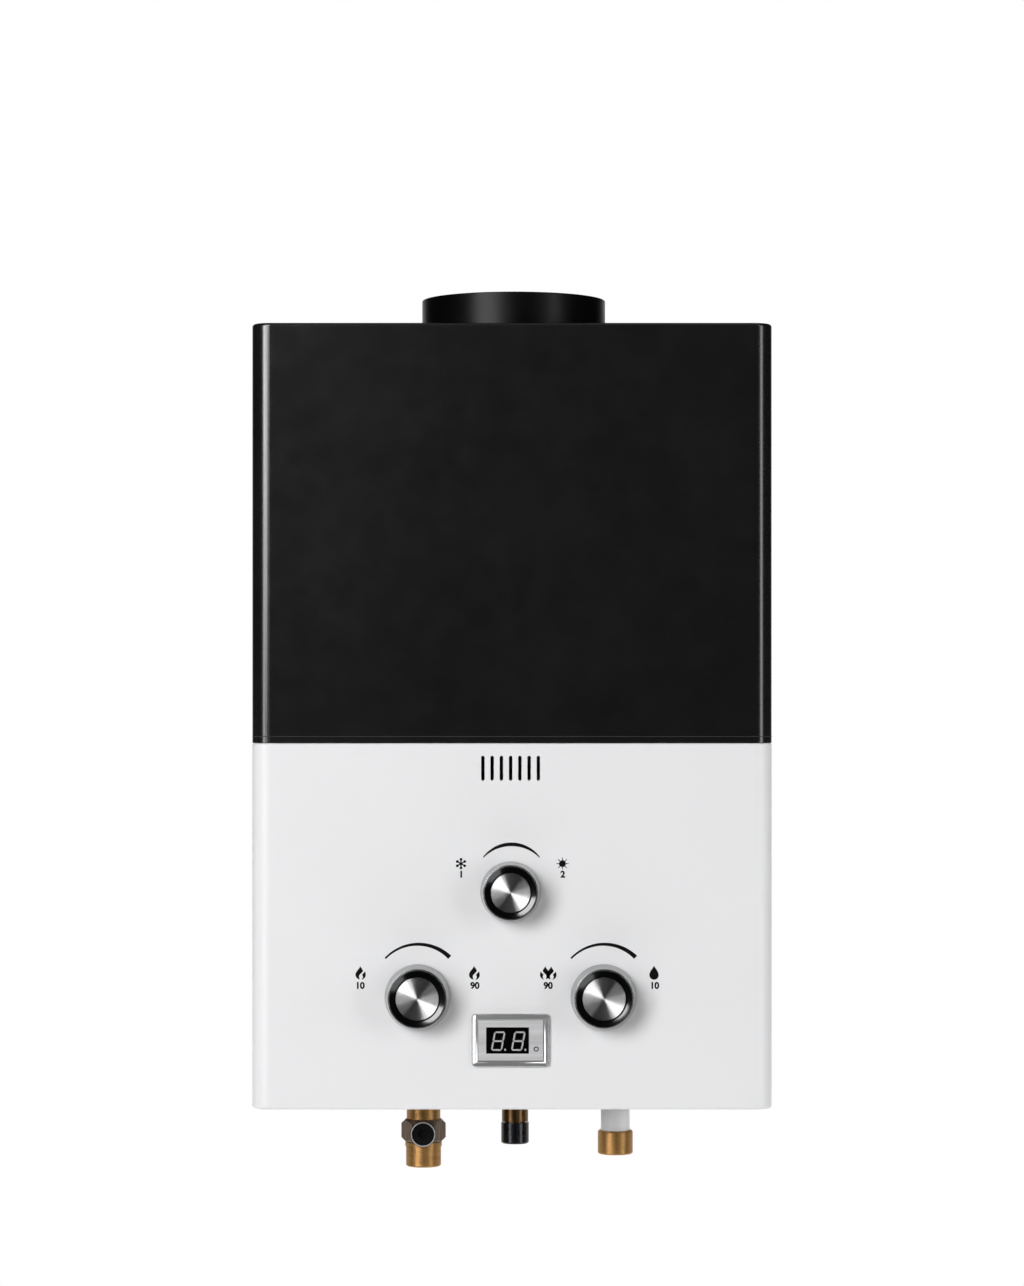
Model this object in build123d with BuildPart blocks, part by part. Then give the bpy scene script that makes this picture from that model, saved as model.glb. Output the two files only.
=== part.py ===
from build123d import *
from math import cos, pi, radians, tan
import os

os.makedirs("parts", exist_ok=True)

# A wall-hung instantaneous gas water heater, in millimetres.
# +X is to the right seen from the front, +Y points into the wall, +Z is up.
# The origin is the centre of the wall screw holes, on the rear face of the back plate.

# Casing
case_width = 305.0
case_height = 460.0
case_depth = 130.0
cover_sheet = 0.8
edge_round = 11.0
rim_round = 1.8
white_height = 214.0
seam_gap = 0.4
seam_round = 0.3
lap_height = 8.0
front_lip = 14.0
side_lip = 7.0
wall_stand_off = 1.0
round_share = 0.45
pick_margin = 0.01

# Back and bottom plates
back_sheet = 1.2
bottom_sheet = 1.2
pan_flange = 10.0
fit_gap = 0.3
wall_hole_radius = 3.5
wall_pitch_x = 250.0
wall_pitch_z = 400.0
keyhole_radius = 6.0
keyhole_slot_radius = 3.0
keyhole_slot_length = 12.0
vent_count = 8
vent_pitch = 6.0
vent_width = 4.0
vent_length = 60.0

# Screws
screw_radius = 1.75
screw_hole_play = 0.25
screw_head_radius = 3.4
screw_head_height = 1.6
screw_length = 7.0
screw_inset = 32.0
collar_head_height = 1.0
collar_screw_grip = 2.0

# Flue
flue_x = 1.0
flue_setback = 65.0
flue_radius = 55.0
flue_wall = 1.2
flue_rise = 19.3
flue_flange_width = 3.5
flue_flange_sheet = 0.8
flue_lug_reach = 6.5
flue_lug_radius = 4.5

# Combustion chamber and draft hood
chamber_width = 186.0
chamber_depth = 70.0
chamber_height = 166.0
chamber_sheet = 1.0
chamber_corner = 15.0
hood_sheet = 0.8
hood_skirt = 8.0
hood_flare = 36.0
hood_box_height = 36.0
hood_top_gap = 5.0
hood_depth = 114.0
spigot_gap = 0.3
spigot_reach = 8.0
hood_slot_count = 6
hood_slot_pitch = 26.0
hood_slot_width = 8.0
hood_slot_length = 20.0

# Heat exchanger
pipe_radius = 5.0
pipe_wall = 0.8
pipe_bend = 20.0
bend_share = 0.45
turn_share = 0.499
fin_count = 24
fin_pitch = 6.4
fin_thickness = 0.5
fin_height = 30.0
fin_play = 0.4
fin_row_drop = 19.0
tube_rows = 4
tube_pitch = 14.0
coil_pitch = 44.0
coil_turns = 2
hot_riser_stand = 25.0

# Burner
burner_height = 50.0
flame_gap = 30.0
frame_sheet = 1.0
frame_overlap = 10.0
bar_count = 8
bar_side_gap = 9.0
bar_width = 14.0
bar_round = 4.6
bar_mouth_radius = 5.0
bar_mouth_depth = 54.0
port_count = 11
port_width = 1.2
port_length = 7.0
port_depth = 9.0
frame_front_height = 35.0
manifold_size = 12.0
manifold_bore = 4.0
manifold_stand = 4.0
jet_radius = 2.5
jet_bore = 0.8
jet_hex_radius = 4.0
jet_nose = 7.0
jet_thread = 3.0

# Controls on the front, from the body's middle and its bottom
panel_x = -0.8
knob_pitch = 108.6
knob_height = 65.8
season_height = 127.4
display_height = 40.6
slots_height = 199.6

# Knobs
knob_radius = 19.3
knob_ring_radius = 16.8
knob_cap_radius = 12.5
season_knob_radius = 17.75
season_ring_radius = 15.6
season_cap_radius = 11.5
knob_stand = 0.6
knob_height_out = 16.0
knob_foot = 1.3
knob_web_depth = 9.3
knob_lip_depth = 12.5
knob_lip_step = 0.9
knob_lip_bevel = 0.4
knob_ring_step = 0.2
knob_ring_round = 2.6
knob_wall = 1.6
cap_sink = 1.1
cap_bevel = 0.4
hub_radius = 6.0
spindle_radius = 3.0
spindle_play = 0.05
spindle_reach = 24.0
spindle_hole_radius = 7.0

# Viewing slots
slot_count = 7
slot_pitch = 5.4
slot_width = 2.0
slot_length = 14.5

# Display
bezel_width = 45.7
bezel_height = 31.2
bezel_border = 4.0
bezel_proud = 2.6
bezel_corner = 1.8
bezel_skirt = 0.9
bezel_tube = 9.0
plate_recess = 1.0
plate_sheet = 1.0
window_width = 25.0
window_height = 15.4
window_shift_x = -1.8
module_depth = 5.0
board_sheet = 1.6

# Gas valve
valve_front_gap = 14.0
valve_depth = 64.0
valve_top = 84.0
valve_height = 40.0
gas_valve_left = 76.0
gas_valve_right = 12.0
poppet_radius = 7.5
poppet_thickness = 3.0
poppet_bore_radius = 9.0
poppet_travel = 3.0
seat_radius = 5.0
seat_thickness = 2.5
spring_wire = 0.6
spring_radius = 5.0
spring_turns = 6
spring_room = 21.0
valve_wall = 4.0
rod_radius = 2.5
rod_play = 0.05
solenoid_radius = 9.0
solenoid_height = 24.0
solenoid_nut_radius = 10.0
solenoid_nut_height = 4.0
solenoid_inset = 22.8
solenoid_setback = 12.0

# Season valve
season_valve_radius = 11.0
riser_radius = 7.0
riser_bore = 4.0

# Water valve
water_valve_left = 46.0
water_valve_right = 84.0
valve_disc_radius = 24.0
valve_disc_thickness = 8.0
valve_cover_thickness = 7.0
diaphragm_sheet = 1.0
diaphragm_cavity = 18.0
rod_plate_radius = 15.0
rod_plate_sheet = 1.5
switch_collar_radius = 5.0
lever_sheet = 0.6
lever_half = 2.0
lever_gap = 0.3
lever_hub = 1.3
lever_pin_radius = 0.6
switch_height = 9.0
switch_stand = 1.0
switch_ear = 1.5
switch_ear_half = 2.0

# Fittings under the body
fitting_setback = 60.0
hot_side_gap = 99.4
gas_x = 1.8
cold_x = 62.0
half_inch_radius = 10.48
three_eighth_radius = 8.33
tee_stub_radius = 10.1
tee_stub_drop = 11.5
tee_hex_radius = 13.3
tee_hex_height = 14.0
tee_hex_chamfer = 2.8
tee_thread_length = 14.5
tee_shoulder_length = 2.5
tee_shoulder_step = 0.5
tee_bore = 7.0
thread_chamfer = 0.8
port_radius = 7.8
port_proud = 1.8
port_drop = 1.3
port_hole_radius = 6.7
plug_recess = 2.0
plug_socket_radius = 3.25
plug_socket_depth = 2.5
gas_stub_radius = 7.9
gas_stub_drop = 13.0
gas_groove = 0.7
gas_nipple_length = 12.6
gas_bore = 4.5
gas_spigot_radius = 6.0
gas_spigot_length = 6.0
neck_radius = 8.65
neck_drop = 18.4
neck_bore = 5.5
neck_spigot_radius = 7.0
neck_spigot_length = 7.5
insert_length = 14.2
filter_sheet = 0.5
filter_recess = 2.0
nut_height = 5.0
nut_width = 3.0
plate_hole_play = 0.3

# Batteries, igniter and sensors
cell_radius = 16.6
cell_length = 60.0
cell_play = 0.5
contact_length = 4.0
contact_tip_radius = 4.0
contact_base_radius = 8.0
battery_wall = 1.5
battery_side_gap = 12.0
battery_setback = 52.0
door_play = 0.4
door_pin_radius = 1.0
door_pin_length = 3.0
door_pin_lift = 1.4
door_swing_gap = 2.0
igniter_width = 52.0
igniter_depth = 32.0
igniter_height = 62.0
igniter_side_gap = 14.5
igniter_lift = 20.0
igniter_round = 2.0
terminal_radius = 3.0
terminal_height = 6.0
sensor_radius = 8.0
sensor_height = 5.0
sensor_stem = 2.0
electrode_radius = 3.2
electrode_length = 28.0
electrode_x = 44.0
electrode_stand = 2.0
electrode_clip = 8.0
wire_radius = 0.8
wire_rise = 8.0
wire_reach = 18.0

# Places worked out from the sizes
front = -case_depth
half_width = case_width / 2
top = case_height / 2
bottom = -top
seam = bottom + white_height
inner_front = front + cover_sheet
pan_half_width = half_width - cover_sheet - fit_gap
plate_low = bottom + cover_sheet
plate_high = plate_low + bottom_sheet
pan_top = top - cover_sheet - fit_gap
flue_y = front + flue_setback
fitting_y = front + fitting_setback
igniter_x = half_width - igniter_side_gap - igniter_width / 2
hot_x = hot_side_gap - half_width

# Levels of the burner and the chamber
hood_top = top - hood_top_gap
chamber_top = hood_top - hood_box_height - hood_flare
chamber_bottom = chamber_top - chamber_height
burner_top = chamber_bottom - flame_gap
burner_base = burner_top - burner_height
chamber_left = -chamber_width / 2
chamber_front = flue_y - chamber_depth / 2
chamber_rear = flue_y + chamber_depth / 2

# Places of the controls
gas_knob_x = panel_x - knob_pitch / 2
water_knob_x = panel_x + knob_pitch / 2
knob_z = bottom + knob_height
season_z = bottom + season_height
display_z = bottom + display_height
valve_front = front + valve_front_gap
valve_rear = valve_front + valve_depth
valve_high = bottom + valve_top
valve_low = valve_high - valve_height
rod_y = fitting_y
rod_z = knob_z


def block(x, y, z, mode=Mode.ADD):
    """Add or cut a box between two values along each axis."""
    with BuildSketch(Plane.XY.offset(z[0])) as section:
        with Locations(((x[0] + x[1]) / 2, (y[0] + y[1]) / 2)):
            Rectangle(abs(x[1] - x[0]), abs(y[1] - y[0]))
    extrude(section.sketch, amount=z[1] - z[0], mode=mode)


def bar(start, direction, radius, length, mode=Mode.ADD):
    """Add or cut a round bar from a start point along a direction."""
    with BuildSketch(Plane(origin=start, z_dir=direction)) as section:
        Circle(radius)
    extrude(section.sketch, amount=length, mode=mode)


def hexagon(start, direction, radius, length, mode=Mode.ADD):
    """Add or cut a six-sided bar, with its corners at the given radius."""
    with BuildSketch(Plane(origin=start, x_dir=(1, 0, 0), z_dir=direction)) as section:
        RegularPolygon(radius, 6)
    extrude(section.sketch, amount=length, mode=mode)


def bend_radii(points, largest):
    """Return one bend radius for each corner of a pipe's route."""
    radii = []
    for before, here, after in zip(points, points[1:], points[2:]):
        first = Vector(*here) - Vector(*before)
        second = Vector(*after) - Vector(*here)
        turn = radians(first.get_angle(second))
        shorter = min(first.length, second.length)
        radii.append(min(largest, bend_share * shorter / tan(turn / 2)))
    return radii


def pipe(points, largest):
    """Sweep a pipe with its bore along a route of straight runs and bends."""
    with BuildLine() as route:
        FilletPolyline(*points, radius=bend_radii(points, largest))
    heading = Vector(*points[1]) - Vector(*points[0])
    with BuildSketch(Plane(origin=points[0], z_dir=heading)) as section:
        Circle(pipe_radius)
        Circle(pipe_radius - pipe_wall, mode=Mode.SUBTRACT)
    sweep(section.sketch, path=route.wires()[0])


# Casing

with BuildPart() as back_plate:
    with BuildSketch(Plane.XZ):
        with Locations((0, (pan_top + plate_high) / 2)):
            Rectangle(2 * pan_half_width, pan_top - plate_high)
    extrude(amount=pan_flange)
    offset(amount=-back_sheet, openings=back_plate.faces().sort_by(Axis.Y)[0])
    with BuildSketch(Plane.XZ):
        with GridLocations(wall_pitch_x, wall_pitch_z, 2, 2):
            Circle(wall_hole_radius)
        with Locations((0, wall_pitch_z / 2)):
            Circle(keyhole_radius)
        with Locations((0, wall_pitch_z / 2 + keyhole_slot_length / 2)):
            SlotOverall(
                keyhole_slot_length + 2 * keyhole_slot_radius,
                2 * keyhole_slot_radius,
                rotation=90,
            )
    extrude(amount=back_sheet, mode=Mode.SUBTRACT)

# Heights of the side screws: two on each side of each cover
screw_levels = [bottom + screw_inset, seam - screw_inset, seam + screw_inset, top - screw_inset]
screw_y = -(wall_stand_off + pan_flange) / 2

with BuildPart() as screw_shanks:
    for level in screw_levels:
        bar((-half_width, screw_y, level), (1, 0, 0), screw_radius, screw_length)
        bar((half_width, screw_y, level), (-1, 0, 0), screw_radius, screw_length)

with back_plate:
    add(screw_shanks.part, mode=Mode.SUBTRACT)

with BuildPart() as cover_screws:
    for level in screw_levels:
        for side in (-1, 1):
            bar((side * half_width, screw_y, level), (-side, 0, 0), screw_radius, screw_length)
            bar((side * half_width, screw_y, level), (side, 0, 0), screw_head_radius, screw_head_height)


def on_outside(edge):
    """Tell whether an edge of a cover lies on its outer skin, clear of its rear edge."""
    box = edge.bounding_box()
    on_front = box.min.Y < front + pick_margin
    on_side = max(-box.min.X, box.max.X) > half_width - pick_margin
    return box.min.Y < -wall_stand_off - seam_round and (on_front or on_side)


def cover_shell(low, high, closed_top):
    """Make one sheet cover, open at the back and on the side of the seam."""
    with BuildPart() as cover:
        with BuildSketch(Plane.XY.offset(low)) as outline:
            with Locations((0, (front - wall_stand_off) / 2)):
                Rectangle(case_width, case_depth - wall_stand_off)
            fillet(outline.vertices().group_by(Axis.Y)[0], edge_round)
        extrude(amount=high - low)
        end = cover.faces().sort_by(Axis.Z)[-1 if closed_top else 0]
        rim = end.edges().sort_by(Axis.Y)[:-1]
        fillet(rim, rim_round)
        seam_face = cover.faces().sort_by(Axis.Z)[0 if closed_top else -1]
        rear_face = cover.faces().sort_by(Axis.Y)[-1]
        offset(amount=-cover_sheet, openings=[seam_face, rear_face])
        seam_level = low if closed_top else high
        seam_edges = cover.edges().filter_by_position(
            Axis.Z, seam_level - pick_margin, seam_level + pick_margin
        )
        fillet([edge for edge in seam_edges if on_outside(edge)], seam_round)
        for level in screw_levels:
            if low < level < high:
                bar(
                    (-half_width, screw_y, level),
                    (1, 0, 0),
                    screw_radius + screw_hole_play,
                    case_width,
                    Mode.SUBTRACT,
                )
    return cover


upper_cover = cover_shell(seam + seam_gap / 2, top, True)
lug_circle = flue_radius + flue_flange_width + flue_lug_reach - flue_lug_radius
with upper_cover:
    with BuildSketch(Plane.XY.offset(top)) as top_holes:
        with Locations((flue_x, flue_y)):
            Circle(flue_radius - flue_wall)
        with Locations((flue_x, flue_y)):
            with PolarLocations(lug_circle, 4, start_angle=45):
                Circle(screw_radius)
    extrude(top_holes.sketch, amount=-2 * cover_sheet, mode=Mode.SUBTRACT)

lower_cover = cover_shell(bottom, seam - seam_gap / 2, False)
with lower_cover:
    # The lap strip that the upper cover slides over
    with BuildSketch(Plane.XY.offset(seam - lap_height)) as lap_outline:
        with Locations((0, (inner_front - wall_stand_off - pan_flange - fit_gap) / 2)):
            Rectangle(
                case_width - 2 * cover_sheet,
                -inner_front - wall_stand_off - pan_flange - fit_gap,
            )
        fillet(lap_outline.vertices().group_by(Axis.Y)[0], edge_round - cover_sheet)
        offset(amount=-cover_sheet, mode=Mode.SUBTRACT)
        with Locations((0, -wall_stand_off - pan_flange)):
            Rectangle(case_width - 4 * cover_sheet, 4 * cover_sheet, mode=Mode.SUBTRACT)
    extrude(lap_outline.sketch, amount=2 * lap_height)
    # The open bottom, with a turned lip on three sides
    block(
        (side_lip - half_width, half_width - side_lip),
        (front + front_lip, 0),
        (bottom - cover_sheet, plate_low),
        Mode.SUBTRACT,
    )
    # Openings in the front panel
    with BuildSketch(Plane.XZ.offset(case_depth)) as panel_openings:
        with Locations((gas_knob_x, knob_z), (water_knob_x, knob_z), (panel_x, season_z)):
            Circle(spindle_hole_radius)
        with Locations((panel_x, display_z)):
            Rectangle(
                bezel_width - 2 * bezel_border + 2 * bezel_skirt,
                bezel_height - 2 * bezel_border + 2 * bezel_skirt,
            )
        with Locations((panel_x, bottom + slots_height)):
            with GridLocations(slot_pitch, 1, slot_count, 1):
                SlotOverall(slot_length, slot_width, rotation=90)
    extrude(panel_openings.sketch, amount=-2 * cover_sheet, mode=Mode.SUBTRACT)

# Battery box and its door, in the floor at the left
battery_half_x = cell_length / 2 + contact_length + battery_wall
battery_half_y = 2 * cell_radius + 1.5 * cell_play + battery_wall
battery_x = battery_side_gap + battery_half_x - half_width
battery_y = front + battery_setback
battery_box_height = 2 * cell_radius + 2 * cell_play + battery_wall
cell_z = plate_high + cell_play + cell_radius
door_half_x = battery_half_x - battery_wall - door_play
door_front = battery_y - battery_half_y + battery_wall + door_play
door_rear = battery_y + battery_half_y - battery_wall - door_swing_gap
door_pin_y = door_rear - 2 * door_pin_radius
door_pin_z = plate_high + door_pin_lift

floor_inset = rim_round + fit_gap
floor_front = front + floor_inset
with BuildPart() as bottom_plate:
    with BuildSketch(Plane.XY.offset(plate_low)) as floor_outline:
        with Locations((0, (floor_front - wall_stand_off) / 2)):
            Rectangle(case_width - 2 * floor_inset, -floor_front - wall_stand_off)
        fillet(floor_outline.vertices().group_by(Axis.Y)[0], edge_round - floor_inset)
        with Locations((hot_x, fitting_y)):
            Circle(tee_stub_radius + plate_hole_play, mode=Mode.SUBTRACT)
        with Locations((gas_x, fitting_y)):
            Circle(gas_stub_radius + plate_hole_play, mode=Mode.SUBTRACT)
        with Locations((cold_x, fitting_y)):
            Circle(neck_radius + plate_hole_play, mode=Mode.SUBTRACT)
        with Locations((battery_x, battery_y)):
            Rectangle(
                2 * (battery_half_x - battery_wall),
                2 * (battery_half_y - battery_wall),
                mode=Mode.SUBTRACT,
            )
        with Locations((igniter_x, fitting_y)):
            with GridLocations(vent_pitch, 1, vent_count, 1):
                SlotOverall(vent_length, vent_width, rotation=90, mode=Mode.SUBTRACT)
    extrude(amount=bottom_sheet)

with BuildPart() as battery_box:
    block(
        (battery_x - battery_half_x, battery_x + battery_half_x),
        (battery_y - battery_half_y, battery_y + battery_half_y),
        (plate_high, plate_high + battery_box_height),
    )
    block(
        (battery_x - battery_half_x + battery_wall, battery_x + battery_half_x - battery_wall),
        (battery_y - battery_half_y + battery_wall, battery_y + battery_half_y - battery_wall),
        (plate_high, plate_high + battery_box_height - battery_wall),
        Mode.SUBTRACT,
    )
    for side in (-1, 1):
        bar(
            (battery_x + side * (battery_half_x - battery_wall), door_pin_y, door_pin_z),
            (side, 0, 0),
            door_pin_radius + spindle_play,
            battery_wall,
            Mode.SUBTRACT,
        )

with BuildPart() as battery_door:
    block(
        (battery_x - door_half_x, battery_x + door_half_x),
        (door_front, door_rear),
        (plate_low, plate_high),
    )
    for side in (-1, 1):
        ear = battery_x + side * door_half_x
        block(
            (ear - side * door_pin_length, ear),
            (door_pin_y - 2 * door_pin_radius, door_pin_y + 2 * door_pin_radius),
            (plate_high, door_pin_z),
        )
        bar(
            (ear - side * door_pin_length, door_pin_y, door_pin_z),
            (side, 0, 0),
            2 * door_pin_radius,
            door_pin_length,
        )
        bar(
            (ear, door_pin_y, door_pin_z),
            (side, 0, 0),
            door_pin_radius,
            door_play + battery_wall,
        )

cell_rows = [battery_y - cell_radius - cell_play / 2, battery_y + cell_radius + cell_play / 2]
with BuildPart() as batteries:
    for row in cell_rows:
        bar((battery_x - cell_length / 2, row, cell_z), (1, 0, 0), cell_radius, cell_length)

with BuildPart() as battery_contacts:
    for row in cell_rows:
        for side in (-1, 1):
            with BuildSketch(
                Plane(origin=(battery_x + side * cell_length / 2, row, cell_z), z_dir=(side, 0, 0))
            ):
                Circle(contact_tip_radius)
            with BuildSketch(
                Plane(
                    origin=(battery_x + side * (cell_length / 2 + contact_length), row, cell_z),
                    z_dir=(side, 0, 0),
                )
            ):
                Circle(contact_base_radius)
            loft()

# Flue collar and its screws

with BuildPart() as flue_collar:
    with BuildSketch(Plane.XY.offset(top)):
        with Locations((flue_x, flue_y)):
            Circle(flue_radius + flue_flange_width)
        with Locations((flue_x, flue_y)):
            with PolarLocations(lug_circle, 4, start_angle=45):
                Circle(flue_lug_radius)
    extrude(amount=flue_flange_sheet)
    bar((flue_x, flue_y, top), (0, 0, 1), flue_radius, flue_rise)
    bar((flue_x, flue_y, top), (0, 0, 1), flue_radius - flue_wall, flue_rise, Mode.SUBTRACT)
    with BuildSketch(Plane.XY.offset(top)):
        with Locations((flue_x, flue_y)):
            with PolarLocations(lug_circle, 4, start_angle=45):
                Circle(screw_radius)
    extrude(amount=flue_flange_sheet, mode=Mode.SUBTRACT)
    fillet(flue_collar.edges().group_by(Axis.Z)[-1], round_share * flue_wall)

with BuildPart() as collar_screws:
    with Locations((flue_x, flue_y, top + flue_flange_sheet)):
        with PolarLocations(lug_circle, 4, start_angle=45):
            Cylinder(
                screw_radius,
                flue_flange_sheet + cover_sheet + collar_screw_grip,
                align=(Align.CENTER, Align.CENTER, Align.MAX),
            )
            Cylinder(
                screw_head_radius,
                collar_head_height,
                align=(Align.CENTER, Align.CENTER, Align.MIN),
            )

# Draft hood, chamber and heat exchanger


def hood_form(inset, mode=Mode.ADD):
    """Add or cut the hood's skirt, flare and box, with every wall drawn in by an inset."""
    width = chamber_width + 2 * hood_sheet - 2 * inset
    skirt_depth = chamber_depth + 2 * hood_sheet - 2 * inset
    box_depth = hood_depth - 2 * inset
    levels = [
        (chamber_top - hood_skirt, skirt_depth),
        (chamber_top, skirt_depth),
        (chamber_top + hood_flare, box_depth),
        (hood_top - inset, box_depth),
    ]
    sections = []
    for level, depth in levels:
        with BuildSketch(Plane.XY.offset(level)) as section:
            with Locations((0, flue_y)):
                Rectangle(width, depth)
            fillet(section.vertices(), chamber_corner + hood_sheet - inset)
        sections.append(section.sketch)
    loft(sections, ruled=True, mode=mode)


with BuildPart() as draft_hood:
    hood_form(0)
    hood_form(hood_sheet, Mode.SUBTRACT)
    spigot_radius = flue_radius - flue_wall - spigot_gap
    bar((flue_x, flue_y, hood_top - hood_sheet), (0, 0, 1), spigot_radius, hood_top_gap + spigot_reach)
    bar(
        (flue_x, flue_y, hood_top - hood_sheet),
        (0, 0, 1),
        spigot_radius - hood_sheet,
        hood_top_gap + spigot_reach + hood_sheet,
        Mode.SUBTRACT,
    )
    with BuildSketch(Plane.XZ.offset(-flue_y - hood_depth / 2 + 2 * hood_sheet)):
        with Locations((0, hood_top - hood_box_height / 2)):
            with GridLocations(hood_slot_pitch, 1, hood_slot_count, 1):
                SlotOverall(hood_slot_length, hood_slot_width)
    extrude(amount=-4 * hood_sheet, mode=Mode.SUBTRACT)

tube_z = chamber_top - fin_row_drop
tube_ys = [flue_y + (row - (tube_rows - 1) / 2) * tube_pitch for row in range(tube_rows)]

with BuildPart() as chamber_shell:
    with BuildSketch(Plane.XY.offset(chamber_bottom)) as shell_outline:
        with Locations((0, flue_y)):
            Rectangle(chamber_width, chamber_depth)
        fillet(shell_outline.vertices(), chamber_corner)
        offset(amount=-chamber_sheet, mode=Mode.SUBTRACT)
    extrude(amount=chamber_height)
    for y in tube_ys:
        bar((chamber_left, y, tube_z), (1, 0, 0), pipe_radius, chamber_width, Mode.SUBTRACT)

with BuildPart() as heat_fins:
    with BuildSketch(Plane.YZ.offset(-(fin_count - 1) / 2 * fin_pitch - fin_thickness / 2)):
        with Locations((flue_y, tube_z)):
            Rectangle(chamber_depth - 2 * chamber_sheet - 2 * fin_play, fin_height)
        with Locations(*[(y, tube_z) for y in tube_ys]):
            Circle(pipe_radius, mode=Mode.SUBTRACT)
    extrude(amount=fin_thickness)
    one_fin = heat_fins.part
    for index in range(1, fin_count):
        add(one_fin.moved(Location((index * fin_pitch, 0, 0))))

# The serpentine that runs through the fins, from the left and back to it
turn_x = chamber_width / 2 + tube_pitch / 2 + pipe_wall
tube_start_x = -turn_x - pipe_radius
serpentine = [(tube_start_x, tube_ys[-1], tube_z)]
for row in range(tube_rows - 1, 0, -1):
    side = 1 if (tube_rows - 1 - row) % 2 == 0 else -1
    serpentine.append((side * (turn_x + tube_pitch / 2), tube_ys[row], tube_z))
    serpentine.append((side * (turn_x + tube_pitch / 2), tube_ys[row - 1], tube_z))
serpentine.append((tube_start_x, tube_ys[0], tube_z))

with BuildPart() as fin_tubes:
    with BuildLine() as serpentine_route:
        FilletPolyline(*serpentine, radius=turn_share * tube_pitch)
    with BuildSketch(Plane(origin=serpentine[0], z_dir=(1, 0, 0))):
        Circle(pipe_radius)
        Circle(pipe_radius - pipe_wall, mode=Mode.SUBTRACT)
    sweep(path=serpentine_route.wires()[0])

# The coil that climbs round the outside of the chamber
coil_x = chamber_width / 2 + pipe_radius
coil_front = chamber_front - pipe_radius
coil_rear = chamber_rear + pipe_radius
coil_start_y = flue_y - chamber_depth / 4
coil_start_z = chamber_bottom + frame_overlap + pipe_radius
coil_corners = [(coil_x, coil_rear), (-coil_x, coil_rear), (-coil_x, coil_front), (coil_x, coil_front)]
climb = coil_pitch / 4
coil_route = [
    (coil_x, coil_start_y, coil_start_z),
    (coil_x, coil_start_y, coil_start_z + chamber_corner + pipe_radius),
]
level = coil_route[-1][2] + climb
for index in range(4 * coil_turns + 1):
    corner = coil_corners[index % 4]
    coil_route.append((corner[0], corner[1], level))
    level += climb
riser_x = -chamber_width / 2 - hot_riser_stand
coil_route.append((riser_x, coil_rear, min(level, tube_z - 2 * pipe_radius)))
coil_route.append((riser_x, coil_rear, tube_z))
coil_route.append((riser_x, tube_ys[-1], tube_z))
coil_route.append((tube_start_x, tube_ys[-1], tube_z))

with BuildPart() as water_coil:
    pipe(coil_route, chamber_corner + pipe_radius)

# Pipes from the water valve to the coil, and from the fins to the hot outlet
cold_pipe_x = water_valve_right - pipe_radius - valve_wall
cold_riser_x = chamber_width / 2 + frame_sheet + 2 * pipe_radius
cold_route = [
    (cold_pipe_x, coil_start_y, valve_high),
    (cold_pipe_x, coil_start_y, valve_high + pipe_bend),
    (cold_riser_x, coil_start_y, burner_base),
    (cold_riser_x, coil_start_y, burner_top + pipe_radius),
    (coil_x, coil_start_y, coil_start_z - 2 * pipe_radius),
    (coil_x, coil_start_y, coil_start_z),
]
with BuildPart() as cold_pipe:
    pipe(cold_route, pipe_bend)

tee_top = plate_high + 2 * nut_height
hot_back_y = valve_rear + pipe_bend
hot_route = [
    (tube_start_x, tube_ys[0], tube_z),
    (riser_x, tube_ys[0], tube_z),
    (riser_x, tube_ys[0], burner_base),
    (riser_x, hot_back_y, burner_base - 6 * pipe_radius),
    (riser_x, hot_back_y, valve_high - pipe_radius),
    (hot_x, hot_back_y, valve_low),
    (hot_x, hot_back_y, tee_top + 3 * pipe_radius),
    (hot_x, fitting_y, tee_top + 3 * pipe_radius),
    (hot_x, fitting_y, tee_top),
]
with BuildPart() as hot_pipe:
    pipe(hot_route, pipe_bend)

# Burner, manifold and jets

bar_pitch = (chamber_width - 2 * bar_side_gap - bar_width) / (bar_count - 1)
bar_xs = [(index - (bar_count - 1) / 2) * bar_pitch for index in range(bar_count)]
mouth_z = burner_base + bar_mouth_radius + valve_wall
frame_inner = chamber_width / 2
frame_outer = frame_inner + frame_sheet

with BuildPart() as burner_frame:
    for side in (-1, 1):
        sides = (side * frame_inner, side * frame_outer)
        block(sides, (chamber_front, -back_sheet), (burner_base, burner_top))
        block(sides, (flue_y, chamber_rear), (burner_top, chamber_bottom + frame_overlap))
    block(
        (-frame_outer, frame_outer),
        (chamber_front, chamber_front + frame_sheet),
        (burner_base, burner_base + frame_front_height),
    )
    block(
        (-frame_outer, frame_outer),
        (chamber_rear - frame_sheet, chamber_rear),
        (burner_base, burner_top),
    )
    for x in bar_xs:
        bar(
            (x, chamber_front, mouth_z),
            (0, 1, 0),
            bar_mouth_radius,
            frame_sheet,
            Mode.SUBTRACT,
        )

with BuildPart() as burner_bars:
    bar_start = chamber_front + frame_sheet
    bar_length = chamber_depth - 2 * frame_sheet
    with BuildSketch(Plane.XZ.offset(-bar_start - bar_length)):
        with Locations(*[(x, (burner_base + burner_top) / 2) for x in bar_xs]):
            RectangleRounded(bar_width, burner_height, bar_round)
    extrude(amount=bar_length)
    for x in bar_xs:
        bar((x, bar_start, mouth_z), (0, 1, 0), bar_mouth_radius, bar_mouth_depth, Mode.SUBTRACT)
    port_pitch = bar_length / (port_count + 1)
    with BuildSketch(Plane.XY.offset(burner_top)):
        with Locations(*[(x, flue_y) for x in bar_xs]):
            with GridLocations(1, port_pitch, 1, port_count):
                Rectangle(port_length, port_width)
    extrude(amount=-port_depth, mode=Mode.SUBTRACT)

manifold_front = chamber_front - manifold_stand - manifold_size
manifold_rear = chamber_front - manifold_stand
manifold_low = mouth_z - manifold_size / 2
manifold_half = frame_inner

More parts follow.
